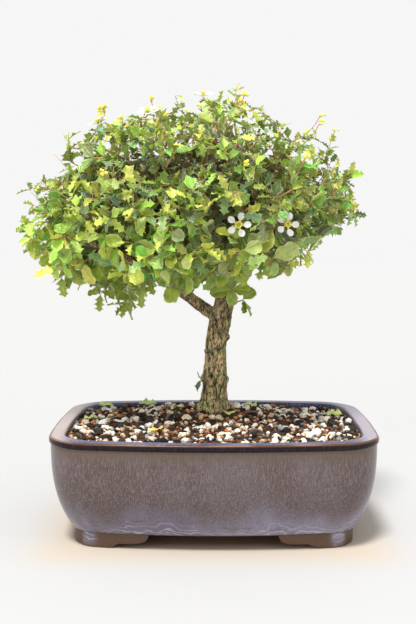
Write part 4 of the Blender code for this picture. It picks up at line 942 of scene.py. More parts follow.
def twig_to(tip, outward, limbs, radii):
    """A twig that leaves the nearest suitable limb and ends at a place, heading outward."""
    best = None
    for limb in limbs:
        for i in range(len(limb.points) // 3, len(limb.points)):
            reach = tip - limb.points[i]
            if reach.length < SHORTEST_TWIG:
                continue
            before = limb.points[i] - limb.points[i - 1]
            turn = 1 - reach.normalized().dot(before.normalized())
            back = 1 - reach.normalized().dot(outward)
            cost = reach.length * (1 + TURN_COST * turn + BACK_COST * back)
            if best is None or cost < best[0]:
                best = (cost, limb.points[i], before.normalized(), limb.radii[i])
    _, start, tangent, limb_radius = best
    ease = (tip - start).length * TWIG_EASE
    middle = (start + tangent * ease + tip - outward * ease) / 2
    thick = min(radii[0], limb_radius * TWIG_LIMB_SHARE)
    return tapered(smooth_path([start, middle, tip], 1), (thick, radii[1]), TWIG_SIDES)


# Sprays


def spread_ways(count, lowest, turn=0.0):
    """Unit directions spread evenly over the canopy, from its top to its lower edge."""
    golden_angle = math.pi * (3 - math.sqrt(5))
    found = []
    for i in range(count):
        z = 1 - (i + 0.5) * (1 - lowest) / count
        flat = math.sqrt(1 - z * z)
        angle = turn + i * golden_angle
        found.append(Vector((flat * math.cos(angle), flat * math.sin(angle), z)))
    return found


def grow_shoot(start, axes, first, length, bend, radius, spacing=JOINT_SPACING):
    """A shoot that bends a little at each of its joints, with the last of them at its tip."""
    count = max(round((length - first) / spacing), 0) + 1
    distances = [first + (length - first) * i / (count - 1) for i in range(count)] if count > 1 else [length]
    joints = []
    place = start
    turned = axes
    for i, distance in enumerate(distances):
        place = place + turned[0] * (distance - distances[i - 1] if i else distance)
        joints.append(Joint(place, turned))
        turned = axes_along((turned[0] + bend / count).normalized(), turned[1])
    return Shoot(start, axes, radius, joints)


def grow_side_shoot(joint, face, bend, rng):
    """A side shoot from one face of a joint, or None with too little room before the canopy's outline."""
    tangent, _, _ = joint.axes
    way = face_ways(joint.axes)[face]
    heading = (tangent * math.cos(SIDE_SHOOT_ANGLE) + way * math.sin(SIDE_SHOOT_ANGLE)).normalized()
    start = joint.middle + way * SHOOT_RADIUS * math.sqrt(0.5)
    length = min(rng.uniform(*SIDE_SHOOT_LENGTH), room_ahead(start, heading) - TIP_ROOM)
    if length < SHORTEST_SIDE_SHOOT:
        return None
    axes = axes_along(heading, way.cross(tangent))
    return grow_shoot(start, axes, SIDE_FIRST_JOINT, length, bend, SIDE_SHOOT_RADIUS)


def shoots_from(shoot):
    """A shoot and all that grow from it, from the base up."""
    found = [shoot]
    for joint in shoot.joints:
        for item in joint.growth.values():
            if isinstance(item, Shoot):
                found += shoots_from(item)
    return found


def grow_spray(name, base, heading, room, rng):
    """A main shoot that carries on from a twig, with pairs of side shoots that have room."""
    length = max(room_ahead(base, heading) - TIP_ROOM, FIRST_JOINT + JOINT_SPACING)
    length = min(length, LONGEST_SHOOT)
    axes = axes_along(heading, scatter(rng, 1))
    for attempt in range(SHOOT_TRIES):
        spread = SHOOT_BEND * (1 + attempt)
        bend = Vector((rng.gauss(0, spread), rng.gauss(0, spread), rng.uniform(0.0, SHOOT_RISE)))
        main = grow_shoot(base + heading * GAP, axes, FIRST_JOINT, length, bend, SHOOT_RADIUS)
        if room.all_clear(shoot_obstacles(main, name)):
            break
    room.add(shoot_obstacles(main, name))
    for number, joint in enumerate(main.joints[:SIDE_SHOOT_JOINTS]):
        for face in (1, 3) if number % 2 == 0 else (0, 2):
            side_shoot = grow_side_shoot(joint, face, bend, rng)
            if side_shoot and room.all_clear(shoot_obstacles(side_shoot, name)):
                joint.growth[face] = side_shoot
                room.add(shoot_obstacles(side_shoot, name))
    return main


# Room for leaves


def leaf_point(leaf, u, v, w=0.0):
    """A point of a leaf from its share of the length, of the width, and its height off the blade."""
    across = leaf.along.cross(leaf.normal)
    lift = leaf.fold * abs(v) - leaf.droop * u * u
    return leaf.root + leaf.along * (u * leaf.length) + across * (v * leaf.length) + leaf.normal * (
        lift * leaf.length + w
    )


def half_outline(leaf, from_share, margin):
    """Points down one side of a leaf, from a share of its length to its tip, to test for overlaps."""
    spots = [spot for pair in leaf.outline for spot in pair if spot]
    first_u, first_v = spots[0]
    root = LEAF_ROOT_HALF_WIDTH / leaf.length
    grow = 1 + margin / (first_v * leaf.length)
    return [(from_share, (root + (first_v - root) * from_share / first_u) * grow)] + [
        (u, v * grow) for u, v in spots
    ]


def test_blade(leaf, from_share, margin, thickness):
    """A plain closed shape a little larger than a leaf, from a share of its length."""
    side = half_outline(leaf, from_share, margin)
    outline = [*side, (1 + margin / leaf.length, 0.0), *[(u, -v) for u, v in reversed(side)]]
    count = len(outline)
    half = thickness / 2 + margin
    points = [leaf_point(leaf, u, v, w) for w in (-half, half) for u, v in outline]
    faces = [tuple(base + k for k in range(count)) for base in (0, count)]
    faces += [(k, (k + 1) % count, (k + 1) % count + count, k + count) for k in range(count)]
    return BVHTree.FromPolygons(points, faces)


def leaf_obstacle(leaf, owner, margin=CLEARANCE, thickness=LEAF_THICKNESS):
    middle = leaf.root + leaf.along * leaf.length / 2
    reach = leaf.length * LEAF_REACH
    whole = test_blade(leaf, 0, margin, thickness)
    outer = test_blade(leaf, ROOT_SHARE, margin, thickness)
    return Obstacle(owner, middle, reach, whole, outer)


def tube_obstacles(tube, owner):
    """One obstacle for each stretch of a tube."""
    found = []
    for start, end, thick, thin in zip(tube.points, tube.points[1:], tube.radii, tube.radii[1:]):
        stretch = Tube([start, end], [thick + CLEARANCE, thin + CLEARANCE], tube.sides)
        tree = BVHTree.FromPolygons(*tube_mesh(stretch))
        reach = (end - start).length / 2 + max(stretch.radii)
        found.append(Obstacle(owner, (start + end) / 2, reach, tree, tree))
    return found


def shoot_obstacles(shoot, owner):
    """Obstacles along a shoot, beginning clear of what it grows from."""
    first = shoot.start + shoot.axes[0] * SHOOT_CLEAR_OF_BASE
    points = [first, *[joint.middle for joint in shoot.joints]]
    return tube_obstacles(Tube(points, [shoot.radius] * len(points), 4), owner)


def wood_obstacles(wood):
    """Obstacles along the trunk, the limbs and the twigs."""
    trunk = Tube([Vector(ring[:3]) for ring in TRUNK], [ring[3] for ring in TRUNK], TRUNK_SIDES)
    return [part for tube in [trunk, *wood] for part in tube_obstacles(tube, "wood")]


def leaf_kind(z, rng):
    """The outline and length of a leaf at a height."""
    chance = rng.random()
    if z < LOW_LEAF_Z and chance > SMALL_LEAF_SHARE:
        return ROUNDED, rng.uniform(*LOW_LEAF_LENGTH)
    low, high = TOP_LEAF_Z
    rise = min(max((z - low) / (high - low), 0.0), 1.0)
    size = 1 + (TOP_LEAF_SHARE - 1) * rise
    if chance < SMALL_LEAF_SHARE:
        return SMALL, rng.uniform(*SMALL_LEAF_LENGTH) * size
    return SPINY, rng.uniform(*LEAF_LENGTH) * size


def lie(root, stem, way, length, outline, looseness, rng, to_sky=LEAF_TO_SKY, to_outside=LEAF_TO_OUTSIDE,
        waver=LEAF_WAVER):
    """A leaf that leaves a stem near the given way, with its face to the sky and the outside."""
    outward = (root - CANOPY_MIDDLE).normalized()
    angle = LEAF_ANGLE + rng.gauss(0, looseness)
    spread = perpendicular(way + scatter(rng, looseness), stem)
    along = (stem * math.cos(angle) + spread * math.sin(angle)).normalized()
    face = Vector((0, 0, to_sky)) + outward * to_outside + stem * LEAF_TO_STEM
    normal = perpendicular(face + scatter(rng, waver), along)
    return Leaf(root, along, normal, length, outline)


def try_leaf(owner, root, stem, way, room, rng):
    """A leaf as the solids have it, or None if no room is found for it."""
    outline, length = leaf_kind(root.z, rng)
    for attempt in range(LEAF_TRIES):
        size = length * (1 - SHRINK_PER_TRY * attempt)
        leaf = lie(root, stem, way, size, outline, LEAF_SPREAD + SPREAD_PER_TRY * attempt, rng)
        if ellipse_share(root + leaf.along * (leaf.length - CANOPY_OVERSHOOT)) > 1:
            continue
        candidate = leaf_obstacle(leaf, owner)
        if room.is_clear(candidate):
            room.add([candidate])
            return leaf
    return None


def set_leaves(shoot, inset, tip_inset, grow):
    """Grows a pair of leaves at each joint of a shoot and one at its free tip, and counts them."""
    count = 0
    for number, joint in enumerate(shoot.joints):
        tangent = joint.axes[0]
        for face in (0, 2) if number % 2 == 0 else (1, 3):
            way = face_ways(joint.axes)[face]
            leaf = None if face in joint.growth else grow(joint.middle + way * inset, tangent, way)
            if leaf:
                joint.growth[face] = leaf
                count += 1
    if shoot.tip is None:
        end = shoot.joints[-1]
        tangent, _, up = end.axes
        shoot.tip = grow(end.middle + tangent * tip_inset, tangent, tangent * TIP_LEAF_AHEAD + up)
        count += shoot.tip is not None
    return count


def leaf_up(name, main, room, rng):
    """Sets the leaves that the solids have on a spray."""

    def grow(root, stem, way):
        return try_leaf(name, root, stem, way, room, rng)

    for shoot in shoots_from(main):
        set_leaves(shoot, shoot.radius * math.sqrt(0.5), JOINT_LENGTH / 2, grow)


# Sprouts and flowers


def trunk_surface(z, way):
    """The point on the trunk's surface at a height, looking that way."""
    x, y = next((x, y) for x, y, ring_z, _ in TRUNK if ring_z >= z)
    outward = Vector((way[0], way[1], 0)).normalized()
    bark = BVHTree.FromPolygons(*loft(trunk_rings()))
    return bark.ray_cast(Vector((x, y, z)) + outward * POT_WIDTH, -outward)[0]


def grow_sprout(name, z, way, length, leaves):
    """A small sprout straight from the trunk, with its listed leaves placed round its one joint."""
    heading = Vector(way).normalized()
    start = trunk_surface(z, way) + heading * GAP
    axes = axes_along(heading, heading.cross(Vector((0, 0, 1))))
    joint = Joint(start + heading * length, axes)
    ways = face_ways(axes)
    for along, size in leaves:
        along = Vector(along).normalized()
        face = max((k for k in range(4) if k not in joint.growth), key=lambda k: along.dot(ways[k]))
        root = joint.middle + ways[face] * SIDE_SHOOT_RADIUS * math.sqrt(0.5)
        outline = SMALL if name == "sprout_low" else ROUNDED
        normal = perpendicular(heading + Vector((0, 0, SPROUT_FACE_RISE)), along)
        joint.growth[face] = Leaf(root, along, normal, size, outline)
    return Shoot(start, axes, SIDE_SHOOT_RADIUS, [joint])


def bloom_obstacles(place, facing, owner):
    """The room that an open flower takes up."""
    ends = [place - facing * PETAL_THICKNESS, place + facing * FLOWER_DEPTH]
    return tube_obstacles(Tube(ends, [FLOWER_RADIUS * share for share in FLOWER_ROOM], 8), owner)


def grow_flower(owner, place, facing, sprays, room):
    """Sets a stalk on the nearest free tip of a spray and gives the place where its flower then opens."""
    tips = [(name, shoot) for name, main in sprays for shoot in shoots_from(main) if shoot.tip is None]
    name, shoot = min(tips, key=lambda tip: (tip[1].joints[-1].middle - place).length)
    start = shoot.joints[-1].middle
    reach = place - start
    place = start + reach.normalized() * min(reach.length, LONGEST_STALK)
    while not room.all_clear(bloom_obstacles(place, facing, owner)):
        place = place + facing * FLOWER_STEP
    middle = start.lerp(place, STALK_BEND_SHARE) - facing * (place - start).length * STALK_BEND
    end = place - facing * (GAP + STALK_RADIUS / 2)
    shoot.tip = Tube([middle, end], [STALK_RADIUS, STALK_RADIUS], 4)
    room.add(tube_obstacles(Tube([start, *shoot.tip.points], [STALK_RADIUS] * 3, 4), name)[1:])
    room.add(bloom_obstacles(place, facing, owner))
    return place


def grow_tree():
    """The tree as the solids have it: the wood's tubes, the sprays and sprouts, and the flowers' places."""
    rng = random.Random(SEED)
    limbs = limb_tubes()
    wood = list(limbs)
    bases = []
    for direction in spread_ways(SPRAY_COUNT, SPRAY_LOWEST, SPRAY_TURN):
        base = canopy_point(direction, SPRAY_BASE_SHARE)
        outward = (base - CANOPY_MIDDLE + Vector((0, 0, SPRAY_LIFT))).normalized()
        twig = twig_to(base, outward, limbs, TWIG_RADIUS)
        wood.append(twig)
        bases.append((base, (twig.points[-1] - twig.points[-2]).normalized()))
    for tip in BARE_TWIG_TIPS:
        tip = Vector(tip)
        wood.append(twig_to(tip, (tip - CANOPY_MIDDLE).normalized(), limbs, BARE_TWIG_RADIUS))
    room = Room()
    room.add(wood_obstacles(wood))
    sprouts = [(sprout[0], grow_sprout(*sprout)) for sprout in SPROUTS]
    for name, sprout in sprouts:
        room.add([leaf_obstacle(leaf, name) for leaf in sprout.joints[0].growth.values()])
    sprays = []
    for number, (base, heading) in enumerate(bases, 1):
        name = f"spray_{number:02d}"
        sprays.append((name, grow_spray(name, base, heading, room, rng)))
    flowers = []
    for number, (place, facing) in enumerate(FLOWERS, 1):
        facing = Vector(facing).normalized()
        name = f"flower_{number:02d}"
        flowers.append((name, grow_flower(name, Vector(place), facing, sprays, room), facing))
    for name, main in sprays:
        leaf_up(name, main, room, rng)
    return wood, sprays, sprouts, flowers


# The shoots and leaves that the solids leave out


def fine_room(wood, sprays, sprouts, flowers):
    """The room as the drawn leaves leave it, which are thinner than the solids."""
    room = Room()
    room.add(wood_obstacles(wood))
    for name, main in [*sprays, *sprouts]:
        for shoot in shoots_from(main):
            for joint in shoot.joints:
                leaves = [item for item in joint.growth.values() if isinstance(item, Leaf)]
                room.add([leaf_obstacle(leaf, name, FILL_MARGIN, FILL_MARGIN) for leaf in leaves])
            if isinstance(shoot.tip, Leaf):
                room.add([leaf_obstacle(shoot.tip, name, FILL_MARGIN, FILL_MARGIN)])
    for name, place, facing in flowers:
        room.add(bloom_obstacles(place, facing, name))
    return room


def fill_leaf_size(z, rng):
    """The length of a leaf at a height: they are smaller towards the top."""
    sizes = FILL_LEAF_SIZES
    z = min(max(z, sizes[0][0]), sizes[-1][0])
    for (z0, low0, high0), (z1, low1, high1) in zip(sizes, sizes[1:]):
        if z <= z1:
            share = (z - z0) / (z1 - z0)
            return rng.uniform(low0 + (low1 - low0) * share, high0 + (high1 - high0) * share)
    return high1


def try_fill_leaf(owner, root, stem, way, limit, room, rng):
    """A leaf in what room there is, or None."""
    length = fill_leaf_size(root.z, rng)
    chance = rng.random()
    rounded = root.z < LOW_LEAF_Z and chance < FILL_ROUNDED_SHARE
    outline = ROUNDED if rounded else SMALL if chance < FILL_SMALL_SHARE else PRICKLY
    for attempt in range(FILL_LEAF_TRIES):
        size = length * (1 - SHRINK_PER_TRY * attempt)
        looseness = LEAF_SPREAD + 2 * SPREAD_PER_TRY * attempt
        leaf = lie(root, stem, way, size, outline, looseness, rng, FILL_TO_SKY, FILL_TO_OUTSIDE, FILL_WAVER)
        leaf.fold = rng.uniform(*FILL_FOLD)
        leaf.droop = rng.uniform(*FILL_DROOP)
        if fine_share(root + leaf.along * (leaf.length - FILL_OVERSHOOT)) > limit:
            continue
        candidate = leaf_obstacle(leaf, owner, FILL_MARGIN, FILL_MARGIN)
        if room.is_clear(candidate):
            room.add([candidate])
            return leaf
    return None


def grow_filler(name, start, axes, length, limit, room, rng):
    """A thin side shoot with close pairs of leaves, or None if it finds room for too few."""

    def grow(root, stem, way):
        return try_fill_leaf(name, root, stem, way, limit, room, rng)

    bend = scatter(rng, FILL_BEND) + Vector((0, 0, FILL_RISE))
    shoot = grow_shoot(start, axes, FILL_FIRST_JOINT, length, bend, FILL_RADIUS, FILL_SPACING)
    count = set_leaves(shoot, FILL_RADIUS, FILL_RADIUS, grow)
    return shoot if count >= FEWEST_FILL_LEAVES else None


def places_on(points, radius, owner):
    """Places along a stem that a shoot may leave it from: (place, way of the stem, radius, owner)."""
    found = []
    for a, b in zip(points, points[1:]):
        steps = max(round((b - a).length / FILL_STEM_STEP), 1)
        way = (b - a).normalized()
        found += [(a.lerp(b, (step + 0.5) / steps), way, radius, owner) for step in range(steps)]
    return found


def shoot_places(main, owner):
    found = []
    for shoot in shoots_from(main):
        found += places_on([shoot.start, *[joint.middle for joint in shoot.joints]], shoot.radius, owner)
    return found


def aims(rng):
    """Places over the canopy at all depths of its leafy shell, each with how far out its leaves may reach."""
    found = []
    low, high = FILL_AIM_SHARES
    for i, way in enumerate(spread_ways(FILL_AIMS, FILL_AIM_LOWEST)):
        share = high - (high - low) * rng.random() ** FILL_AIM_POWER
        way = (way + scatter(rng, FILL_AIM_JITTER)).normalized()
        aim = canopy_point(way, share * unevenness(way))
        hollow = noise.noise(Vector([c * scale for c, scale in zip(aim, FILL_HOLLOWS)]))
        if i % FREE_EVERY == 0:
            found.append((canopy_point(way, rng.uniform(*FREE_SHARES)), FREE_LIMIT))
        elif not FILL_HOLLOW_FLOOR < share < FILL_HOLLOW_DEPTH or hollow > FILL_HOLLOW_LEVEL:
            found.append((aim, 1.0))
    rng.shuffle(found)
    return found + [(Vector(tip), FREE_TIP_LIMIT) for tip in FREE_TIPS]


def tree_of(places):
    tree = kdtree.KDTree(len(places))
    for number, place in enumerate(places):
        tree.insert(place[0], number)
    tree.balance()
    return tree


def fill_canopy(sprays, twigs, room, rng):
    """Side shoots and leaves, by spray, that fill the canopy evenly from the stems nearest to each place."""
    fillers = {name: [] for name, _ in sprays}
    places = []
    for (name, main), twig in zip(sprays, twigs):
        places += shoot_places(main, name) + places_on(twig.points, TWIG_RADIUS[1], name)
    known = tree_of(places)
    for number, (aim, limit) in enumerate(aims(rng)):
        if number % TREE_EVERY == TREE_EVERY - 1:
            known = tree_of(places)
        _, index, distance = known.find(aim)
        if not FILL_LENGTH[0] < distance < FILL_LENGTH[1]:
            continue
        place, stem, radius, name = places[index]
        heading = (aim - place).normalized()
        heading = (heading + Vector((0, 0, FILL_LIFT * rng.random()))).normalized()
        start = place + perpendicular(heading, stem) * radius * FILL_START
        filler = grow_filler(name, start, axes_along(heading, scatter(rng, 1)), distance, limit, room, rng)
        if filler:
            fillers[name].append(filler)
            places += shoot_places(filler, name)
    return fillers


# Meshes


class Shape:
    """Points and faces as they are built up, with a colour and a mark for each point."""

    def __init__(self):
        self.points = []
        self.faces = []
        self.colours = []
        self.marks = []
        self.slots = []

    def add(self, points, faces, colour, mark=(0.0, 0.0, 0.0), slot=0):
        """Adds a part in one colour, or with a list of one for each point, and the same for its mark."""
        first = len(self.points)
        self.points += points
        self.faces += [tuple(k + first for k in face) for face in faces]
        self.colours += colour if isinstance(colour, list) else [colour] * len(points)
        self.marks += mark if isinstance(mark, list) else [mark] * len(points)
        self.slots += [slot] * len(faces)


def loft(rings):
    """Points and faces through rings of equal count, each turning the same way, with flat ends."""
    count = len(rings[0])
    points = [point for ring in rings for point in ring]
    faces = []
    for i in range(len(rings) - 1):
        for k in range(count):
            a, b = i * count + k, i * count + (k + 1) % count
            faces.append((a, b, b + count, a + count))
    faces.append(tuple(reversed(range(count))))
    faces.append(tuple(range(len(points) - count, len(points))))
    return points, faces


def ring_round(middle, axes, radius, sides):
    """A ring of points, with a square ring's corners between its side and up axes."""
    _, side, up = axes
    angles = [math.tau * (k + 0.5) / sides for k in range(sides)]
    return [middle + (side * math.cos(angle) + up * math.sin(angle)) * radius for angle in angles]


def tube_mesh(tube):
    stations = zip(tube.points, path_axes(tube.points), tube.radii)
    return loft([ring_round(middle, axes, radius, tube.sides) for middle, axes, radius in stations])


def sphere(middle, radii, axes, detail):
    """An icosphere stretched along three axes."""
    mesh = bmesh.new()
    bmesh.ops.create_icosphere(mesh, subdivisions=detail, radius=1.0)
    a, b, c = axes
    points = [
        middle + a * (v.co.x * radii[0]) + b * (v.co.y * radii[1]) + c * (v.co.z * radii[2])
        for v in mesh.verts
    ]
    faces = [tuple(v.index for v in face.verts) for face in mesh.faces]
    mesh.free()
    return points, faces


def strip(rows):
    """Faces between rows of points of equal count."""
    width = len(rows[0])
    faces = []
    for i in range(len(rows) - 1):
        for k in range(width - 1):
            a = i * width + k
            faces.append((a, a + 1, a + 1 + width, a + width))
    return faces


def new_object(name, data):
    """An object in the scene, made from a mesh, a light or a camera."""
    obj = bpy.data.objects.new(name, data)
    bpy.context.scene.collection.objects.link(obj)
    return obj


def add_object(name, shape, materials):
    """Makes an object from a shape, moved from the pot's middle to the model's."""
    mesh = bpy.data.meshes.new(name)
    mesh.from_pydata([point + POT_MIDDLE for point in shape.points], [], shape.faces)
    for made in materials:
        mesh.materials.append(made)
    mesh.polygons.foreach_set("material_index", shape.slots)
    colours = mesh.color_attributes.new("tint", "FLOAT_COLOR", "POINT")
    colours.data.foreach_set("color", [c for colour in shape.colours for c in (*colour, 1.0)])
    marks = mesh.attributes.new("mark", "FLOAT_VECTOR", "POINT")
    marks.data.foreach_set("vector", [c for mark in shape.marks for c in mark])
    mesh.shade_smooth()
    return new_object(name, mesh)


def add_piece(name, shape, materials, replaced, sharp=None):
    """Adds a piece of the tree or the pot, which rides on the one body and stands for nodes of the model."""
    obj = add_object(name, shape, materials)
    if sharp is not None:
        obj.data.set_sharp_from_angle(angle=sharp)
    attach(obj, "root")
    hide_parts(*replaced)
    return obj


# Materials


class Nodes:
    """A material's node tree, built in short calls."""

    def __init__(self, name, **settings):
        self.material = bpy.data.materials.new(name)
        self.material.use_nodes = True
        self.tree = self.material.node_tree
        self.shader = self.tree.nodes["Principled BSDF"]
        for socket, value in settings.items():
            self.shader.inputs[socket.replace("_", " ")].default_value = value

    def put(self, value, socket):
        """Links an output to a socket, or sets the socket to a plain value."""
        if isinstance(value, bpy.types.NodeSocket):
            self.tree.links.new(value, socket)
        elif isinstance(value, tuple) and socket.type == "RGBA":
            socket.default_value = (*value, 1.0)
        else:
            socket.default_value = value

    def attribute(self, name, output="Color"):
        node = self.tree.nodes.new("ShaderNodeAttribute")
        node.attribute_name = name
        return node.outputs[output]

    def place(self, scale=(1, 1, 1)):
        """The object's own coordinates, scaled along each axis."""
        coordinates = self.tree.nodes.new("ShaderNodeTexCoord")
        node = self.tree.nodes.new("ShaderNodeVectorMath")
        node.operation = "MULTIPLY"
        self.put(coordinates.outputs["Object"], node.inputs[0])
        node.inputs[1].default_value = scale
        return node.outputs[0]

    def parts(self, vector):
        node = self.tree.nodes.new("ShaderNodeSeparateXYZ")
        self.put(vector, node.inputs[0])
        return node.outputs

    def noise(self, vector, scale, detail, roughness, distortion):
        node = self.tree.nodes.new("ShaderNodeTexNoise")
        self.put(vector, node.inputs["Vector"])
        node.inputs["Scale"].default_value = scale
        node.inputs["Detail"].default_value = detail
        node.inputs["Roughness"].default_value = roughness
        node.inputs["Distortion"].default_value = distortion
        return node.outputs["Fac"]

    def texture(self, name):
        """A noise from the table of textures."""
        stretch, *rest = TEXTURES[name]
        return self.noise(self.place(stretch), *rest)

    def math(self, operation, a, b=0.0, clamp=False):
        node = self.tree.nodes.new("ShaderNodeMath")
        node.operation = operation
        node.use_clamp = clamp
        self.put(a, node.inputs[0])
        self.put(b, node.inputs[1])
        return node.outputs[0]

    def span(self, value, low, high, out_low=0.0, out_high=1.0):
        """A value taken from one range to another, smoothly and without leaving it."""
        node = self.tree.nodes.new("ShaderNodeMapRange")
        node.interpolation_type = "SMOOTHSTEP"
        self.put(value, node.inputs["Value"])
        ends = {"From Min": low, "From Max": high, "To Min": out_low, "To Max": out_high}
        for socket, number in ends.items():
            self.put(number, node.inputs[socket])
        return node.outputs["Result"]

    def mix(self, share, a, b, kind="MIX"):
        node = self.tree.nodes.new("ShaderNodeMix")
        node.data_type = "RGBA"
        node.blend_type = kind
        self.put(share, node.inputs["Factor"])
        self.put(a, node.inputs[6])
        self.put(b, node.inputs[7])
        return node.outputs[2]

    def over(self, colour, value, name, kind="MIX"):
        """A colour with a layer from the table over it, as thick as a value calls for."""
        low, high, strength, layer = LAYERS[name]
        return self.mix(self.span(value, low, high, 0.0, strength), colour, layer, kind)

    def between(self, value, name):
        """A colour between the two of a blend from the table."""
        low, high, first, second = BLENDS[name]
        return self.mix(self.span(value, low, high), first, second)

    def bump(self, height, strength, distance):
        node = self.tree.nodes.new("ShaderNodeBump")
        node.inputs["Strength"].default_value = strength
        node.inputs["Distance"].default_value = distance
        self.put(height, node.inputs["Height"])
        self.put(node.outputs["Normal"], self.shader.inputs["Normal"])

    def finish(self, colour, roughness=None):
        self.put(colour, self.shader.inputs["Base Color"])
        if roughness is not None:
            self.put(roughness, self.shader.inputs["Roughness"])
        return self.material

    def let_through(self, colour, share):
        """Mixes in light that passes through a thin blade."""
        through = self.tree.nodes.new("ShaderNodeBsdfTranslucent")
        self.put(colour, through.inputs["Color"])
        mixed = self.tree.nodes.new("ShaderNodeMixShader")
        mixed.inputs["Fac"].default_value = share
        self.put(self.shader.outputs["BSDF"], mixed.inputs[1])
        self.put(through.outputs["BSDF"], mixed.inputs[2])
        self.put(mixed.outputs[0], self.tree.nodes["Material Output"].inputs["Surface"])


def leaf_material():
    """Glossy leaves with a pale midrib and side veins, a pale margin that is partly a painted highlight, a
    little blotched, that let some light through.
    """
    nodes = Nodes("holly_leaf", Specular_IOR_Level=0.62)
    along, across, _ = nodes.parts(nodes.attribute("mark", "Vector"))
    midrib = nodes.span(across, 0.0, MIDRIB_WIDTH, 1.0, 0.0)
    margin = nodes.span(across, MARGIN_FROM, 1.0)
    slant = nodes.math("MULTIPLY", across, VEIN_SLANT)
    slanted = nodes.math("SUBTRACT", nodes.math("MULTIPLY", along, VEIN_COUNT), slant)
    wave = nodes.math("ABSOLUTE", nodes.math("SINE", nodes.math("MULTIPLY", slanted, math.pi)))
    veins = nodes.span(wave, 0.0, VEIN_WIDTH, 1.0, 0.0)
    blotches = nodes.texture("leaf_blotches")
    colour = nodes.over(nodes.attribute("tint"), blotches, "leaf_blotches")
    pale = nodes.mix(LEAF_PALENESS, colour, LEAF_PALE)
    # the pale margin is partly the leaf's own edge and partly a painted highlight
    for lines, share in zip((veins, midrib, margin), LEAF_LINE_SHARES):
        colour = nodes.mix(nodes.math("MULTIPLY", lines, share), colour, pale)
    grooves = nodes.math("ADD", nodes.math("MULTIPLY", veins, VEIN_GROOVE), midrib)
    bulges = nodes.math("MULTIPLY", nodes.texture("leaf_bulges"), LEAF_BULGE)
    nodes.bump(nodes.math("SUBTRACT", bulges, grooves), *BUMPS["leaf"])
    nodes.finish(colour, nodes.span(blotches, *NOISE_RANGE, *LEAF_ROUGHNESS))
    nodes.let_through(nodes.mix(0.5, colour, LEAF_GLOW), LEAF_THROUGH)
    return nodes.material


def stem_material():
    """Young shoots, reddish brown, with small pale specks."""
    nodes = Nodes("young_stem", Roughness=0.6)
    specks = nodes.texture("stem_specks")
    nodes.bump(specks, *BUMPS["stem"])
    return nodes.finish(nodes.over(nodes.attribute("tint"), specks, "stem_specks"))


def bark_material():
    """Finely fissured brown bark, with green growth up one side and round the foot."""
    nodes = Nodes("bark", Roughness=0.88, Specular_IOR_Level=0.25)
    depth, _, mossy = nodes.parts(nodes.attribute("mark", "Vector"))
    ridges = nodes.texture("bark_ridges")
    threads = nodes.texture("bark_threads")
    colour = nodes.over(nodes.between(ridges, "bark"), nodes.texture("bark_patches"), "bark_patches")
    grown = nodes.span(nodes.texture("moss"), *MOSS_LEVELS)
    green = nodes.math("MULTIPLY", mossy, grown, clamp=True)
    colour = nodes.mix(green, colour, nodes.between(ridges, "moss"))
    colour = nodes.over(colour, threads, "bark_dark_threads")
    colour = nodes.over(colour, threads, "bark_pale_threads")
    colour = nodes.mix(depth, colour, BARK_FISSURE)
    nodes.bump(ridges, *BUMPS["bark"])
    return nodes.finish(colour)


def blue_band(nodes, wall, z, clouds, specks):
    """Blue glaze low on the wall, with an uneven upper edge and fine pale lines along it."""
    patches = nodes.texture("glaze_patches")
    wander = nodes.span(nodes.texture("glaze_wander"), *NOISE_RANGE, -BAND_WANDER, BAND_WANDER)
    low = nodes.math("ADD", z, wander)
    blue = nodes.over(nodes.between(clouds, "blue"), specks, "blue_specks")
    blue = nodes.over(blue, patches, "blue_patches")
    wall = nodes.mix(nodes.math("MULTIPLY", nodes.span(low, *BAND_Z, 1.0, 0.0), BAND_STRENGTH), wall, blue)
    uneven = nodes.math("ADD", low, nodes.span(patches, *NOISE_RANGE, 0.0, LINE_WANDER))
    ripple = nodes.math("SINE", nodes.math("MULTIPLY", uneven, LINE_CLOSENESS))
    lines = nodes.math("MULTIPLY", nodes.span(ripple, LINE_FROM, 1.0), nodes.span(low, *LINES_Z, 1.0, 0.0))
    return nodes.mix(nodes.math("MULTIPLY", lines, LINE_STRENGTH), wall, LINE_COLOUR)


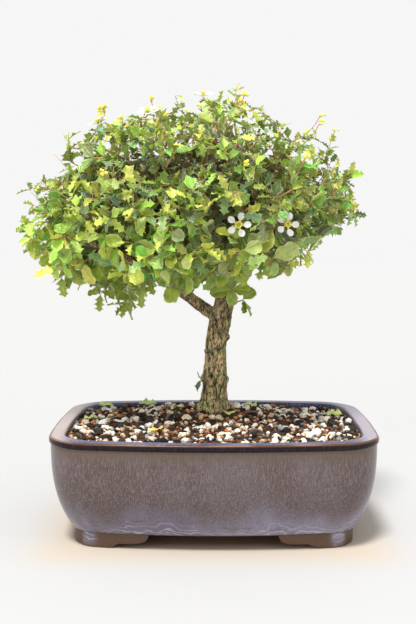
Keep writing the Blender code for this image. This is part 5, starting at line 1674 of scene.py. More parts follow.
def glaze_material():
    """Speckled glaze that ran down the wall: brownish lavender, blue low down, nearly black round the rim
    partly as painted shade, with a painted highlight and painted reflections on the rim.
    """
    nodes = Nodes("glaze")
    x, y, z = nodes.parts(nodes.place())
    side, top, clay = nodes.parts(nodes.attribute("mark", "Vector"))
    streaks = nodes.texture("glaze_streaks")
    specks = nodes.texture("glaze_specks")
    clouds = nodes.texture("glaze_clouds")
    wall = nodes.over(nodes.between(clouds, "wall"), streaks, "wall_streaks")
    wall = nodes.over(wall, specks, "wall_specks")
    wall = nodes.over(blue_band(nodes, wall, z, clouds, specks), z, "wall_under_rim")
    # the rim's outer face is the dark glaze with painted shade from the lip
    rim = nodes.over(nodes.between(streaks, "rim_side"), z, "rim_shoulder")
    # a painted highlight along the rim's upper round
    edge = nodes.math("MULTIPLY", nodes.span(z, *RIM_EDGE_Z), nodes.span(clouds, *RIM_EDGE_CLOUDS))
    rim = nodes.mix(nodes.math("MULTIPLY", edge, RIM_EDGE_STRENGTH), rim, PAINTED_RIM_HIGHLIGHT)
    upper = nodes.over(nodes.between(clouds, "rim_top"), specks, "rim_top_specks")
    # painted reflections on the rim's top at its ends
    upper = nodes.over(upper, x, "painted_reflection_left_rim")
    upper = nodes.over(upper, x, "painted_reflection_right_rim")
    colour = nodes.mix(top, nodes.mix(side, wall, rim), upper)
    colour = nodes.mix(clay, colour, nodes.between(specks, "fired_clay"))
    nodes.bump(nodes.math("ADD", nodes.math("MULTIPLY", streaks, 0.5), specks), *BUMPS["glaze"])
    front = nodes.math("MULTIPLY", top, nodes.span(y, *FRONT_RIM_Y, 0.0, FRONT_RIM_DULLNESS))
    gloss = nodes.span(side, 0.0, 1.0, *GLAZE_GLOSS)
    gloss = nodes.math("MULTIPLY", gloss, nodes.math("SUBTRACT", 1.0, front))
    nodes.put(gloss, nodes.shader.inputs["Specular IOR Level"])
    return nodes.finish(colour, nodes.span(clay, 0.0, 1.0, *GLAZE_ROUGHNESS))


def soil_material():
    """Grit and bark in the colours of its bits, each a little uneven."""
    nodes = Nodes("soil_mix", Roughness=0.92, Specular_IOR_Level=0.2)
    grain = nodes.texture("soil_grain")
    nodes.bump(grain, *BUMPS["soil"])
    return nodes.finish(nodes.over(nodes.attribute("tint"), grain, "soil_grain", "MULTIPLY"))


def petal_material():
    """White petals, yellowish at the root, with faint veins, that let some light through."""
    nodes = Nodes("petal", Roughness=0.6, Specular_IOR_Level=0.3)
    along, _, _ = nodes.parts(nodes.attribute("mark", "Vector"))
    veins = nodes.texture("petal_veins")
    claw = nodes.span(along, *PETAL_CLAW_REACH, PETAL_CLAW_STRENGTH, 0.0)
    colour = nodes.over(nodes.mix(claw, PETAL_WHITE, PETAL_CLAW), veins, "petal_veins")
    nodes.bump(veins, *BUMPS["petal"])
    nodes.finish(colour)
    nodes.let_through(colour, PETAL_THROUGH)
    return nodes.material


def eye_material():
    """Stamens and the flower's green heart, dusted with pollen."""
    nodes = Nodes("stamens", Roughness=0.65, Specular_IOR_Level=0.2)
    grain = nodes.texture("stamen_grain")
    nodes.bump(grain, *BUMPS["stamens"])
    return nodes.finish(nodes.over(nodes.attribute("tint"), grain, "stamen_grain"))


# Leaves and shoots


def leaf_colour(leaf, at_tip, rng):
    """A leaf's colour with painted light and shade: lighter outside, above and below, lighter and yellower
    low on the left, darker on the right and deep inside, with some dull, blue or young.
    """
    middle = leaf.root + leaf.along * leaf.length / 2
    offset = middle - CANOPY_MIDDLE
    outside = (ellipse_share(middle) - DEEP_INSIDE) / (1 - DEEP_INSIDE)
    above = offset.z / CANOPY_UP
    below = max(-above, 0.0)
    left = -offset.x / CANOPY_HALF_X
    if middle.z < LOW_SPROUT_TOP:
        return LEAF_BLUE
    if middle.z < SPROUT_TOP:
        return blend(LEAF_GREEN, LEAF_LIME, rng.uniform(*SPROUT_SHARES))
    # painted light: more outside, above, below and low on the left, less on the right
    light = PAINTED_LIGHT_BASE + PAINTED_LIGHT_OUTSIDE * outside + PAINTED_LIGHT_ABOVE * above + PAINTED_LIGHT_BELOW * below
    light += PAINTED_LIGHT_LEFT * max(left - above, 0.0) + PAINTED_LIGHT_RIGHT * max(-left, 0.0) + rng.gauss(0, LIGHT_SPREAD)
    colour = blend(LEAF_SHADED_GREEN, LEAF_GREEN, light * GREEN_RISE)
    colour = blend(colour, LEAF_OLIVE, rng.uniform(*OLIVE_SHARES))
    colour = blend(colour, LEAF_LIME, (light - LIME_FROM) * LIME_RISE)
    # painted shade on the leaves deep inside the canopy
    colour = blend(colour, LEAF_SHADE, SHADE_SHARE - SHADE_FALL * outside)
    colour = shifted(colour, rng.gauss(*HUE_SHIFT))
    chance = rng.random()
    if leaf.outline is ROUNDED and left < DULL_LOW_LEFT and chance < DULL_LOW_CHANCE:
        colour = blend(colour, LEAF_GREY, rng.uniform(*DULL_LOW_SHARES))
    elif chance < BLUE_CHANCE:
        colour = blend(colour, LEAF_BLUE, rng.uniform(*BLUE_SHARES))
    elif chance < DULL_CHANCE:
        colour = blend(colour, LEAF_GREY, DULL_SHARE)
    elif at_tip and chance > YOUNG_CHANCE and outside > YOUNG_FROM or outside > OUTERMOST:
        colour = blend(colour, LEAF_YOUNG, rng.uniform(*YOUNG_SHARES))
    # painted light from the floor brightens the low leaves
    strength = math.exp(rng.gauss(STRENGTH + PAINTED_FLOOR_BOUNCE * below, STRENGTH_SPREAD))
    strength = min(strength, LEAF_BRIGHTEST / max(colour))
    return tuple(channel * strength for channel in colour)


def shifted(colour, greener):
    """A colour made greener, or browner where the number is below zero."""
    red, green, blue = colour
    if greener > 0:
        less_red = max(1 - GREENER_RED * greener, LEAST_RED)
        return red * less_red, green, blue * max(1 - GREENER_BLUE * greener, LEAST_BLUE)
    return red * (1 - BROWNER_RED * greener), green * max(1 + BROWNER_GREEN * greener, LEAST_GREEN), blue


def draw_leaf(shape, leaf, colour, rng, slot=0):
    """A thin blade with a spiny, wavy edge, folded along its midrib."""
    phase = rng.uniform(0, math.tau)
    twist = rng.gauss(0, LEAF_TWIST)
    rows = []
    marks = []
    spines = [pair[0][0] for pair in leaf.outline if pair[0]]
    for u, reach in EDGES[leaf.outline]:
        spiny = max(math.exp(-(((u - spine) / SPINE_WIDTH) ** 2)) for spine in spines)
        row = []
        for share in BLADE_COLUMNS:
            wave = EDGE_WAVE * math.sin(math.tau * EDGE_WAVES * u + phase + share * WAVE_SKEW) * share * share
            lift = wave + SPINE_LIFT * spiny * share * share + twist * share * reach * u
            lift += BLADE_BULGE * reach * (share * share - abs(share))
            row.append(leaf_point(leaf, u, share * reach, lift * leaf.length))
            marks.append((u, abs(share), 0.0))
        rows.append(row)
    shape.add([point for row in rows for point in row], strip(rows), colour, marks, slot)


def draw_shoot(shape, shoot, slot):
    """A thin stem with a swelling at each joint, redder towards its tip."""
    ends = [shoot.start - shoot.axes[0] * GAP * 2, *[joint.middle for joint in shoot.joints]]
    if isinstance(shoot.tip, Tube):
        ends += shoot.tip.points
    path = smooth_path(ends, STEM_STEPS)
    shares = [i / (len(path) - 1) for i in range(len(path))]
    radii = []
    for i, share in enumerate(shares):
        swell = STEM_SWELL if i % STEM_STEPS == 0 else STEM_WAIST
        radii.append(shoot.radius * swell * (1 - STEM_TAPER * share))
    points, faces = tube_mesh(Tube(path, radii, STEM_SIDES))
    colours = [blend(STEM_OLD, STEM_YOUNG, share) for share in shares for _ in range(STEM_SIDES)]
    shape.add(points, faces, colours, slot=slot)


def draw_growth(shape, main, rng, leaf_slot, stem_slot):
    """A shoot, all the shoots that grow from it, and their leaves."""
    for shoot in shoots_from(main):
        draw_shoot(shape, shoot, stem_slot)
        for joint in shoot.joints:
            for item in joint.growth.values():
                if isinstance(item, Leaf):
                    draw_leaf(shape, item, leaf_colour(item, joint is shoot.joints[-1], rng), rng, leaf_slot)
        if isinstance(shoot.tip, Leaf):
            draw_leaf(shape, shoot.tip, leaf_colour(shoot.tip, True, rng), rng, leaf_slot)


def draw_buds(shape, shoot, rng, slot):
    """A cluster of buds on a thin stalk from a shoot's end."""
    end = shoot.joints[-1]
    outward = (end.middle - CANOPY_MIDDLE).normalized()
    way = (end.axes[0] + outward + Vector((0, 0, 1))).normalized()
    head = end.middle + way * rng.uniform(*BUD_STALK)
    middle = end.middle.lerp(head, 0.5) + scatter(rng, BUD_STALK_WAVER)
    path = smooth_path([end.middle, middle, head], STEM_STEPS)
    points, faces = tube_mesh(Tube(path, [BUD_STALK_RADIUS] * len(path), 5))
    shape.add(points, faces, BUD_STEM_COLOUR, slot=slot)
    for _ in range(rng.randint(*BUD_COUNT)):
        radius = rng.uniform(*BUD_RADIUS)
        radii = (radius * EGG_LENGTH, radius, radius)
        points, faces = sphere(head + scatter(rng, BUD_SPREAD), radii, end.axes, 1)
        shape.add(points, faces, blend(BUD_COLOUR, LEAF_LIME, rng.uniform(0.0, BUD_GREENEST)), slot=slot)


def has_buds(shoot, rng):
    end = shoot.joints[-1].middle
    high = end.z > CANOPY_MIDDLE.z + BUD_LIFT
    return high and ellipse_share(end) > BUD_FROM and rng.random() < BUD_CHANCE


def add_sprays(sprays, sprouts, fillers, materials):
    for name, main in [*sprays, *sprouts]:
        rng = random.Random(name)
        shape = Shape()
        draw_growth(shape, main, rng, 0, 1)
        for filler in fillers.get(name, ()):
            draw_growth(shape, filler, rng, 0, 1)
            if has_buds(filler, rng):
                draw_buds(shape, filler, rng, 1)
        add_piece(f"leafy_{name}", shape, materials, [name])


# Pot


def plan_quarter(inset):
    """A quarter of the pot's outline, drawn in by an inset, from the +X side's middle to the +Y side's."""
    half_x = POT_LENGTH / 2 - inset - SHORT_SIDE_BOW
    half_y = POT_WIDTH / 2 - inset - LONG_SIDE_BOW
    radius = max(CORNER_RADIUS - inset * CORNER_TIGHTENING, SMALLEST_CORNER)
    corner_x, corner_y = half_x - radius, half_y - radius
    points = [(half_x, corner_y * step / SIDE_STEPS) for step in range(SIDE_STEPS)]
    for step in range(CORNER_STEPS + 1):
        angle = math.pi / 2 * step / CORNER_STEPS
        points.append((corner_x + radius * math.cos(angle), corner_y + radius * math.sin(angle)))
    points += [(corner_x * (1 - step / SIDE_STEPS), half_y) for step in range(1, SIDE_STEPS + 1)]
    bowed = []
    for x, y in points:
        bow_x = SHORT_SIDE_BOW * (1 - (y / half_y) ** 2) * x / half_x
        bow_y = LONG_SIDE_BOW * (1 - (x / half_x) ** 2) * y / half_y
        bowed.append((x + bow_x, y + bow_y))
    return bowed


def plan_ring(inset, z):
    """The pot's outline, drawn in by an inset, at a height, counter-clockwise."""
    quarter = plan_quarter(inset)
    points = quarter[:-1]
    points += [(-x, y) for x, y in reversed(quarter)][:-1]
    points += [(-x, -y) for x, y in quarter][:-1]
    points += [(x, -y) for x, y in reversed(quarter)][:-1]
    return [Vector((x, y, z)) for x, y in points]


def wall_inset(z):
    """How far the wall's outer face stands in from the rim's at a height."""
    under_rim = POT_HEIGHT - RIM_HEIGHT
    share = (z - UNDERSIDE_Z) / (under_rim - UNDERSIDE_Z)
    return RIM_OVERHANG + WALL_TUCK * max(1 - share, 0.0) ** WALL_TUCK_POWER


def inner_inset(z):
    """How far the pot's inner face stands in from the rim's outer face at a height."""
    return max(RIM_WIDTH, wall_inset(z) + WALL_THICKNESS)


def rounded_corner(inset, z, turn_from, turn_to):
    """(inset, z) pairs round a small corner, about its middle."""
    pairs = []
    for step in range(RIM_ROUND_STEPS + 1):
        angle = turn_from + (turn_to - turn_from) * step / RIM_ROUND_STEPS
        pairs.append((inset - RIM_ROUND * math.cos(angle), z + RIM_ROUND * math.sin(angle)))
    return pairs


def pot_profile():
    """(inset, z, zone) along the pot's section: from the underside up, over the rim and down inside."""
    wall, side, top = (0.0, 0.0, 0.0), (1.0, 0.0, 0.0), (1.0, 1.0, 0.0)
    clay = (0.0, 0.0, 1.0)
    under_rim = POT_HEIGHT - RIM_HEIGHT
    profile = [(wall_inset(UNDERSIDE_Z) + UNDERSIDE_EDGE, UNDERSIDE_Z, clay)]
    for step in range(1, WALL_STEPS + 1):
        z = UNDERSIDE_Z + (under_rim - UNDERSIDE_Z) * (step / WALL_STEPS) ** WALL_STEP_POWER
        profile.append((wall_inset(z), z, clay if step == 1 else wall))
    profile.append((RIM_OVERHANG * 0.6, under_rim + RIM_STEPPED, side))
    lower, upper = under_rim + RIM_ROUND, POT_HEIGHT - RIM_ROUND
    profile += [(i, z, side) for i, z in rounded_corner(RIM_ROUND, lower, -math.pi / 2 * 0.8, 0)]
    profile += [(i, z, side) for i, z in rounded_corner(RIM_ROUND, upper, 0, math.pi / 2)]
    inside = RIM_WIDTH - RIM_ROUND
    profile += [(RIM_ROUND + RIM_FLAT_FROM, POT_HEIGHT, top), (inside - RIM_FLAT_FROM, POT_HEIGHT, top)]
    profile += [(i, z, top) for i, z in rounded_corner(inside, upper, math.pi / 2, math.pi)]
    for z in (*INSIDE_HEIGHTS, UNDERSIDE_Z + FLOOR_THICKNESS):
        profile.append((inner_inset(z), z, side))
    return profile


def add_pot(materials):
    profile = pot_profile()
    bowl = Shape()
    rings = [plan_ring(inset, z) for inset, z, _ in profile]
    count = len(rings[0])
    bowl.add(*loft(rings), PLAIN, [zone for _, _, zone in profile for _ in range(count)])
    pot = add_piece("glazed_pot", bowl, materials, ["pot"])
    for x in (-DRAIN_X, DRAIN_X):
        cut_hole(pot, POT_MIDDLE + Vector((x, 0.0, 0.0)), materials[0])
    feet = Shape()
    for sign_x in (1, -1):
        for sign_y in (1, -1):
            draw_foot(feet, sign_x, sign_y)
    feet = add_object("feet", feet, materials)
    both = bmesh.new()
    both.from_mesh(pot.data)
    both.from_mesh(feet.data)
    both.to_mesh(pot.data)
    both.free()
    bpy.data.objects.remove(feet)
    pot.data.shade_smooth()
    pot.data.set_sharp_from_angle(angle=POT_SHARP_ANGLE)


def cut_hole(pot, place, finish):
    """Cuts a drainage hole through the pot's floor."""
    angles = [math.tau * k / HOLE_SIDES for k in range(HOLE_SIDES)]
    circle = [(DRAIN_RADIUS * math.cos(angle), DRAIN_RADIUS * math.sin(angle)) for angle in angles]
    heights = (UNDERSIDE_Z - FLOOR_THICKNESS / 2, UNDERSIDE_Z + FLOOR_THICKNESS * 1.5)
    points, faces = loft([[place + Vector((x, y, z)) for x, y in circle] for z in heights])
    mesh = bpy.data.meshes.new("drill")
    mesh.from_pydata(points, [], faces)
    mesh.materials.append(finish)
    drill = new_object("drill", mesh)
    modifier = pot.modifiers.new("hole", "BOOLEAN")
    modifier.operation = "DIFFERENCE"
    modifier.object = drill
    bpy.context.view_layer.update()
    graph = bpy.context.evaluated_depsgraph_get()
    made = bpy.data.meshes.new_from_object(pot.evaluated_get(graph))
    pot.modifiers.clear()
    pot.data = made
    bpy.data.objects.remove(drill)


def foot_line():
    """(distance along from the corner, x, y, outward x, outward y, lower edge) along the +X +Y foot."""
    dense = []
    quarter = plan_quarter(FOOT_INSET)
    for (x0, y0), (x1, y1) in zip(quarter, quarter[1:]):
        for step in range(FOOT_FINE_STEPS):
            share = step / FOOT_FINE_STEPS
            dense.append((x0 + (x1 - x0) * share, y0 + (y1 - y0) * share))
    corner = max(range(len(dense)), key=lambda i: dense[i][0] / POT_LENGTH + dense[i][1] / POT_WIDTH)
    travelled = [0.0]
    for (x0, y0), (x1, y1) in zip(dense, dense[1:]):
        travelled.append(travelled[-1] + math.hypot(x1 - x0, y1 - y0))
    knots = [(-along, z) for along, z in reversed(FOOT_ALONG_SHORT_SIDE)]
    knots += [(along, 0.0) for along in FOOT_CORNER]
    knots += [(along, z) for along, z in reversed(FOOT_ALONG_LONG_SIDE)]
    stations = []
    for step in range(FOOT_STEPS + 1):
        along = knots[0][0] + (knots[-1][0] - knots[0][0]) * step / FOOT_STEPS
        for (a0, z0), (a1, z1) in zip(knots, knots[1:]):
            if along <= a1:
                share = (along - a0) / (a1 - a0)
                share = share * share * (3 - 2 * share)
                low = z0 + (z1 - z0) * share
                break
        i = min(range(1, len(dense) - 1), key=lambda k: abs(travelled[k] - travelled[corner] - along))
        dx, dy = dense[i + 1][0] - dense[i - 1][0], dense[i + 1][1] - dense[i - 1][1]
        scale = 1 / math.hypot(dx, dy)
        stations.append((along, *dense[i], dy * scale, -dx * scale, low))
    return stations


def draw_foot(shape, sign_x, sign_y):
    """One foot, following the corner, with a scrolled lower edge and its glaze run down over it."""
    top = UNDERSIDE_Z + FOOT_SINK
    edge = FOOT_EDGE_ROUND
    rings = []
    marks = []
    for along, x, y, out_x, out_y, low in foot_line():
        low = min(low, UNDERSIDE_Z - edge)
        outer = [(0.0, top), (0.0, (top + low) / 2), (0.0, low + edge), (-edge * 0.3, low + edge * 0.3)]
        profile = [*outer, (-edge, low), (-FOOT_THICKNESS, low), (-FOOT_THICKNESS, top)]
        rings.append([
            Vector((sign_x * (x + out_x * out), sign_y * (y + out_y * out), z)) for out, z in profile
        ])
        drip = math.exp(-(((along - FOOT_DRIP_PLACE) / FOOT_DRIP_WIDTH) ** 4))
        marks += [(0.0, 0.0, 1 - drip * min(max(z / FOOT_DRIP_END, 0.0), 1.0)) for _, z in profile]
    points, faces = loft(rings)
    if sign_x * sign_y < 0:
        faces = [tuple(reversed(face)) for face in faces]
    shape.add(points, faces, PLAIN, marks)


# Soil


def soil_height(x, y):
    """The height of the soil's surface, mounded up round the trunk."""
    distance = math.hypot(x - TRUNK_FOOT[0], y - TRUNK_FOOT[1])
    mound = SOIL_MOUND * math.exp(-((distance / SOIL_MOUND_SPREAD) ** 2))
    ripple = SOIL_RIPPLE * math.sin(x * SOIL_RIPPLES[0]) * math.cos(y * SOIL_RIPPLES[1])
    return SOIL_EDGE_Z + mound + ripple


def draw_ground(shape):
    """The fine soil between the bits, out to the pot's wall, and down behind it."""
    outline = plan_ring(RIM_WIDTH + GAP, 0.0)
    middle = Vector((*TRUNK_FOOT, 0.0))
    rings = []
    for step in range(SOIL_RINGS + 1):
        share = GROUND_START + (1 - GROUND_START) * step / SOIL_RINGS
        ring = []
        for point in outline:
            place = middle.lerp(point, share)
            relief = GROUND_RELIEF * noise.noise(place * GROUND_LUMPS)
            ring.append(Vector((place.x, place.y, soil_height(place.x, place.y) - GROUND_DROP + relief)))
        rings.append(ring)
    rings.append([Vector((p.x, p.y, SOIL_EDGE_Z - SOIL_DEPTH)) for p in rings[-1]])
    tuck_x, tuck_y = GROUND_TUCK
    bottom = UNDERSIDE_Z + FLOOR_THICKNESS + GAP
    rings.append([Vector((p.x * tuck_x, p.y * tuck_y, bottom)) for p in rings[-1]])
    points, faces = loft(list(reversed(rings)))
    shares = [0.5 + 0.5 * noise.noise(point * GROUND_PATCHES) for point in points]
    shape.add(points, faces, [blend(*GROUND_COLOURS, share) for share in shares])


def inside_rim(x, y, margin):
    """True for a place inside the pot's wall with that much to spare."""
    half_x = POT_LENGTH / 2 - RIM_WIDTH - SHORT_SIDE_BOW - margin
    half_y = POT_WIDTH / 2 - RIM_WIDTH - LONG_SIDE_BOW - margin
    bow_x = SHORT_SIDE_BOW * max(1 - (y / half_y) ** 2, 0.0)
    bow_y = LONG_SIDE_BOW * max(1 - (x / half_x) ** 2, 0.0)
    over_x, over_y = abs(x) / (half_x + bow_x), abs(y) / (half_y + bow_y)
    if over_x > 1 or over_y > 1:
        return False
    radius = CORNER_RADIUS - RIM_WIDTH * CORNER_TIGHTENING - margin / 2
    corner_x = over_x * half_x - (half_x - radius)
    corner_y = over_y * half_y - (half_y - radius)
    return corner_x < 0 or corner_y < 0 or math.hypot(corner_x, corner_y) < radius


def draw_bit(shape, place, radius, flat, long, colour, detail, rng):
    """One bit of grit or bark: an angular lump, lying about flat."""
    turn = rng.uniform(0, math.tau)
    up = (Vector((0, 0, 1)) + scatter(rng, BIT_TILT)).normalized()
    up, side, across = axes_along(up, Vector((math.cos(turn), math.sin(turn), 0)))
    stretch = rng.uniform(1.0, long)
    radii = (radius * stretch, radius / math.sqrt(stretch), radius * flat)
    points, faces = sphere(place, radii, (side, across, up), detail)
    rough = [place + (point - place) * rng.uniform(*BIT_ROUGHNESS) for point in points]
    shape.add(rough, faces, colour)


def add_soil(materials):
    rng = random.Random(SEED)
    shape = Shape()
    draw_ground(shape)
    weights = [kind[1] for kind in BITS]
    for _ in range(BIT_COUNT):
        name, _, small, large, flat, long, colours = rng.choices(BITS, weights)[0]
        radius = small + (large - small) * rng.random() ** BIT_SIZE_POWER
        x = rng.uniform(-0.5, 0.5) * POT_LENGTH
        y = rng.uniform(-0.5, 0.5) * POT_WIDTH
        near_trunk = math.hypot(x - TRUNK_FOOT[0], y - TRUNK_FOOT[1])
        if not inside_rim(x, y, radius * BIT_MARGIN) or near_trunk < BARE_ROUND_TRUNK:
            continue
        if name in LIGHT_BITS and near_trunk < DARK_ROUND_TRUNK and rng.random() < 0.5:
            continue
        z = soil_height(x, y) + radius * flat * rng.uniform(*BIT_LIFT)
        colour = blend(rng.choice(colours), rng.choice(colours), rng.random())
        brightness = rng.uniform(*BIT_BRIGHTNESS)
        colour = tuple(c * brightness for c in colour)
        detail = 1 if radius < FINE_BIT_RADIUS else 2
        draw_bit(shape, Vector((x, y, z)), radius, flat, long, colour, detail, rng)
    add_piece("soil_mix", shape, materials, ["soil"], SOIL_SHARP_ANGLE)


# Trunk and branches


def trunk_rings():
    """Rings up the trunk: round in the hole, ridged by the roots above it, and rough with bark further up."""
    rng = random.Random(SEED)
    rings = []
    for level, (x, y, z, radius) in enumerate(TRUNK):
        ring = []
        height = max(z - TRUNK[TRUNK_BASE_RINGS - 1][2], 0) / ROOT_RIDGE_HEIGHT
        ridge = ROOT_RIDGE * math.exp(-height) if level >= TRUNK_BASE_RINGS else 0.0
        for k in range(TRUNK_SIDES):
            angle = math.tau * k / TRUNK_SIDES
            reach = 1.0
            if level >= TRUNK_BASE_RINGS:
                reach += ridge * (math.cos(ROOT_COUNT * angle) - 1) + rng.uniform(-1, 1) * BARK_ROUGHNESS
            out = radius * reach
            ring.append(Vector((x + out * math.cos(angle), y + out * math.sin(angle), z)))
        rings.append(ring)
    return rings


def fine_trunk_rings():
    """The same rings with smooth curves between their points, both round the trunk and up it."""
    columns = [smooth_path(list(column), TRUNK_FINE_STEPS) for column in zip(*trunk_rings())]
    return [smooth_ring(list(ring), TRUNK_FINE_SIDES) for ring in zip(*columns)]


def remeshed(points, faces, voxel):
    """The points, faces and normals of one skin round overlapping closed shapes."""
    mesh = bpy.data.meshes.new("rough")
    mesh.from_pydata(points, [], faces)
    obj = new_object("rough", mesh)
    modifier = obj.modifiers.new("skin", "REMESH")
    modifier.mode = "VOXEL"
    modifier.voxel_size = voxel
    softer = obj.modifiers.new("soften", "SMOOTH")
    softer.factor, softer.iterations = BARK_SOFTENING
    bpy.context.view_layer.update()
    graph = bpy.context.evaluated_depsgraph_get()
    made = obj.evaluated_get(graph).to_mesh()
    new_points = [v.co.copy() for v in made.vertices]
    normals = [v.normal.copy() for v in made.vertices]
    new_faces = [tuple(face.vertices) for face in made.polygons]
    obj.evaluated_get(graph).to_mesh_clear()
    bpy.data.objects.remove(obj)
    return new_points, new_faces, normals


def fissure(point):
    """How deep the bark's fissures are at a place, from 0 to 1."""
    stretched = Vector([c * scale for c, scale in zip(point, FISSURE_SCALE)])
    fine = abs(noise.noise(stretched))
    broad = abs(noise.noise(stretched * FISSURE_BROAD_SHARE + FISSURE_BROAD_PLACE))
    narrow, wide = FISSURE_NARROWNESS
    return max(0.0, 1 - fine * narrow) * FISSURE_SHARES[0] + max(0.0, 1 - broad * wide) * FISSURE_SHARES[1]


def mossiness(point, normal):
    """How green the bark is: on the right, round the foot, and on top of the limbs."""
    right = max(normal.x, 0.0) * (1.0 if point.z < MOSS_TRUNK_TOP else MOSS_ON_LIMBS)
    foot = math.exp(-max(point.z - MOSS_FOOT_Z, 0.0) / MOSS_FOOT_FADE)
    return min(1.0, MOSS_BASE + MOSS_RIGHT * right + MOSS_FOOT * foot + MOSS_TOP * max(normal.z, 0.0))


def add_wood(wood, materials):
    parts = Shape()
    parts.add(*loft(fine_trunk_rings()), PLAIN)
    for route, thick, thin in LIMBS:
        path = smooth_path([Vector(place) for place in route], LIMB_FINE_STEPS)
        parts.add(*tube_mesh(tapered(path, (thick, thin), LIMB_FINE_SIDES)), PLAIN)
    for place, radius in KNOBS:
        axes = (Vector((1, 0, 0)), Vector((0, 1, 0)), Vector((0, 0, 1)))
        parts.add(*sphere(Vector(place), (radius, radius, radius * KNOB_HEIGHT), axes, 2), PLAIN)
    points, faces, normals = remeshed(parts.points, parts.faces, BARK_VOXEL)
    shape = Shape()
    rough = []
    marks = []
    for point, normal in zip(points, normals):
        deep = fissure(point)
        above = max(point.z - SMOOTHER_ABOVE, 0.0)
        thick = max(SMOOTHEST, 1 - above / SMOOTHER_OVER)
        rough.append(point + normal * FISSURE_DEPTH * thick * (FISSURE_LEVEL - deep))
        marks.append((deep * thick, 0.0, mossiness(point, normal)))
    shape.add(rough, faces, PLAIN, marks)
    for twig in wood[len(LIMBS):]:
        path = smooth_path(twig.points, TWIG_FINE_STEPS)
        tube = tapered(path, (twig.radii[0], twig.radii[-1]), TWIG_FINE_SIDES)
        rough = [1 + TWIG_ROUGHNESS * noise.noise(point * TWIG_LUMPS) for point in tube.points]
        tube.radii = [radius * factor for radius, factor in zip(tube.radii, rough)]
        shape.add(*tube_mesh(tube), PLAIN, TWIG_MARK)
    add_piece("bark_and_branches", shape, materials, ["trunk_and_branches"])


# Flowers and fallen leaves


def flower_point(place, axes, angle, reach, height):
    """A point of a flower from its angle round the middle, its distance from it and its height."""
    facing, side, up = axes
    return place + side * reach * math.cos(angle) + up * reach * math.sin(angle) + facing * height


def add_flower(name, place, facing, petal_finish, eye_finish):
    """Five clawed, crinkled petals, and stamens round a green heart."""
    rng = random.Random(name)
    axes = axes_along(facing, FIRST_SIDE)
    petals = Shape()
    for petal in range(PETAL_COUNT):
        angle = math.tau * petal / PETAL_COUNT
        phase = rng.uniform(0, math.tau)
        rows = []
        marks = []
        for u, half in PETAL_EDGE:
            row = []
            for share in BLADE_COLUMNS:
                reach = u * FLOWER_RADIUS
                turn = angle + half * share * FLOWER_RADIUS / max(reach, PETAL_ROOT_REACH)
                waves = share * PETAL_FRILLS[0] + phase + u * PETAL_FRILLS[1]
                frill = PETAL_FRILL * math.sin(waves) * u * u * FLOWER_RADIUS
                cup = PETAL_CUP * (reach - PETAL_CUP_FROM * FLOWER_RADIUS)
                cup += frill + PETAL_CURL * FLOWER_RADIUS * share * share
                row.append(flower_point(place, axes, turn, reach, PETAL_THICKNESS / 2 + cup))
                marks.append((u, abs(share), 0.0))
            rows.append(row)
        petals.add([point for row in rows for point in row], strip(rows), PETAL_WHITE, marks)
    add_piece(f"{name}_blossom", petals, [petal_finish], [f"{name}_petals"])
    eye = Shape()
    base = place + axes[0] * PETAL_THICKNESS
    heart = [FLOWER_HEART_RADIUS] * 3
    eye.add(*sphere(base + axes[0] * FLOWER_HEART_LIFT, heart, axes, 2), FLOWER_HEART_COLOUR)
    for k in range(STAMEN_COUNT):
        angle = math.tau * (k + 0.5) / STAMEN_COUNT
        spread = STAMEN_SPREAD * rng.uniform(*STAMEN_SPREADS)
        foot = flower_point(base, axes, angle, FLOWER_HEART_RADIUS * STAMEN_ROOT, 0.0)
        head = flower_point(base, axes, angle, spread, STAMEN_LENGTH * rng.uniform(*STAMEN_LENGTHS))
        eye.add(*tube_mesh(Tube([foot, head], [STAMEN_RADIUS] * 2, 5)), STAMEN_COLOUR)
        anther = (ANTHER_RADIUS * EGG_LENGTH, ANTHER_RADIUS, ANTHER_RADIUS)
        eye.add(*sphere(head, anther, axes, 1), ANTHER_COLOUR)
    add_piece(f"{name}_stamens", eye, [eye_finish], [f"{name}_eye"])


def add_fallen_leaf(number, finish):
    """A leaf lying where its solid is, with a curled edge."""
    heading, length, colour = FALLEN_LEAVES[number - 1]
    name = f"fallen_leaf_{number:02d}"
    rng = random.Random(name)
    low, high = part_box(name)
    middle = (low + high) / 2 - POT_MIDDLE + Vector((0, 0, FALLEN_LIFT))
    angle = math.radians(heading)
    along = Vector((math.cos(angle), math.sin(angle), FALLEN_RISE)).normalized()
    tilt = Vector((rng.gauss(0, FALLEN_TILT), rng.gauss(0, FALLEN_TILT) - FALLEN_LEAN, 1))
    face = perpendicular(tilt, along)
    leaf = Leaf(middle - along * length / 2, along, face, length, SPINY)
    shape = Shape()
    draw_leaf(shape, leaf, colour, rng)
    add_piece(f"dropped_leaf_{number:02d}", shape, [finish], [name])


# Stage


def add_light(name, way, strength, softness, colour):
    """A wide, soft light from far away, coming from the given way."""
    data = bpy.data.lights.new(name, "SUN")
    data.energy = strength
    data.angle = softness
    data.color = colour
    light = new_object(name, data)
    light.rotation_euler = Vector(way).to_track_quat("Z", "Y").to_euler()


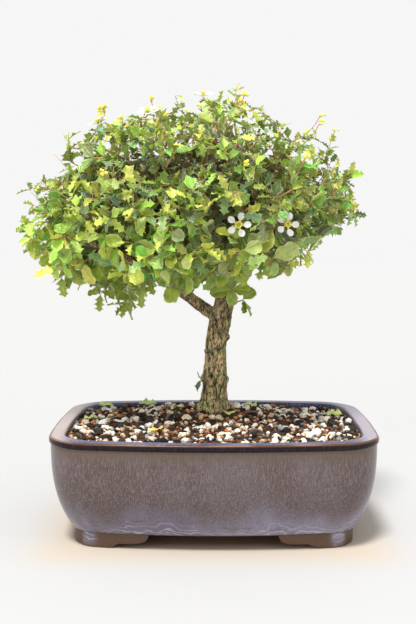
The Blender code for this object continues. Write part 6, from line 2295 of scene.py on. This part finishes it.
def floor_material():
    """Pale paper, with a painted warm reflection of the glaze round the pot and a painted brown shadow under
    it.
    """
    nodes = Nodes("pale_floor", Roughness=1.0, Specular_IOR_Level=0.0)
    x, y, _ = nodes.parts(nodes.place())
    beyond = []
    for place, middle, half in zip((x, y), POT_MIDDLE, POT_BASE_HALF):
        from_middle = nodes.math("ABSOLUTE", nodes.math("SUBTRACT", place, middle))
        beyond.append(nodes.math("SUBTRACT", from_middle, half))
    outside = [nodes.math("MAXIMUM", distance, 0.0) for distance in beyond]
    squares = [nodes.math("MULTIPLY", distance, distance) for distance in outside]
    glow = nodes.span(nodes.math("SQRT", nodes.math("ADD", *squares)), 0.0, FLOOR_GLOW, 1.0, 0.0)
    # painted reflection of the pot's warm glaze on the floor round it
    warmth = nodes.math("MULTIPLY", nodes.math("MULTIPLY", glow, glow), FLOOR_WARMTH)
    # painted brown shadow under the pot
    under = nodes.span(nodes.math("MAXIMUM", *beyond), *FLOOR_UNDER_POT, FLOOR_SHADOW_STRENGTH, 0.0)
    colour = nodes.mix(nodes.texture("floor_grain"), *FLOOR_COLOURS)
    colour = nodes.mix(nodes.span(y, *FLOOR_FAR_Y), colour, FLOOR_FAR)
    colour = nodes.mix(warmth, colour, FLOOR_WARM)
    return nodes.finish(nodes.mix(under, colour, FLOOR_PAINTED_SHADOW))


def add_floor():
    mesh = bpy.data.meshes.new("floor")
    corners = [(x * FLOOR_HALF, y * FLOOR_HALF, 0) for x, y in ((-1, -1), (1, -1), (1, 1), (-1, 1))]
    mesh.from_pydata(corners, [], [(0, 1, 2, 3)])
    mesh.materials.append(floor_material())
    floor = new_object("floor", mesh)
    floor.location = (0, 0, -FLOOR_DROP)


def add_camera():
    data = bpy.data.cameras.new("camera")
    data.lens = CAMERA_LENS
    data.sensor_width = CAMERA_SENSOR
    data.clip_start = CAMERA_NEAR
    camera = new_object("camera", data)
    camera.location = Vector(CAMERA_PLACE) + POT_MIDDLE
    camera.rotation_euler = (math.pi / 2 - CAMERA_PITCH, 0, CAMERA_TURN)
    bpy.context.scene.camera = camera


def add_stage():
    """A pale floor with a painted warm reflection and a painted shadow round and under the pot, plain soft
    light, and the camera.
    """
    bpy.context.scene.view_settings.view_transform = "Standard"
    world = bpy.data.worlds.new("studio")
    world.use_nodes = True
    background = world.node_tree.nodes["Background"]
    background.inputs["Color"].default_value = (*BACKGROUND, 1.0)
    background.inputs["Strength"].default_value = 1.0
    bpy.context.scene.world = world
    add_floor()
    for light in LIGHTS:
        add_light(*light)
    add_camera()


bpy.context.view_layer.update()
pot_low, pot_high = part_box("pot")
POT_MIDDLE = Vector(((pot_low.x + pot_high.x) / 2, (pot_low.y + pot_high.y) / 2, 0.0))


def main():
    wood, sprays, sprouts, flowers = grow_tree()
    room = fine_room(wood, sprays, sprouts, flowers)
    rng = random.Random(FILL_SEED)
    twigs = wood[len(LIMBS):]
    fillers = fill_canopy(sprays, twigs, room, rng)
    leaf, stem = leaf_material(), stem_material()
    add_sprays(sprays, sprouts, fillers, [leaf, stem])
    add_wood(wood, [bark_material()])
    add_pot([glaze_material()])
    add_soil([soil_material()])
    petal, eye = petal_material(), eye_material()
    for name, place, facing in flowers:
        add_flower(name, place, facing, petal, eye)
    for number in range(1, len(FALLEN_LEAVES) + 1):
        add_fallen_leaf(number, leaf)
    add_stage()


main()
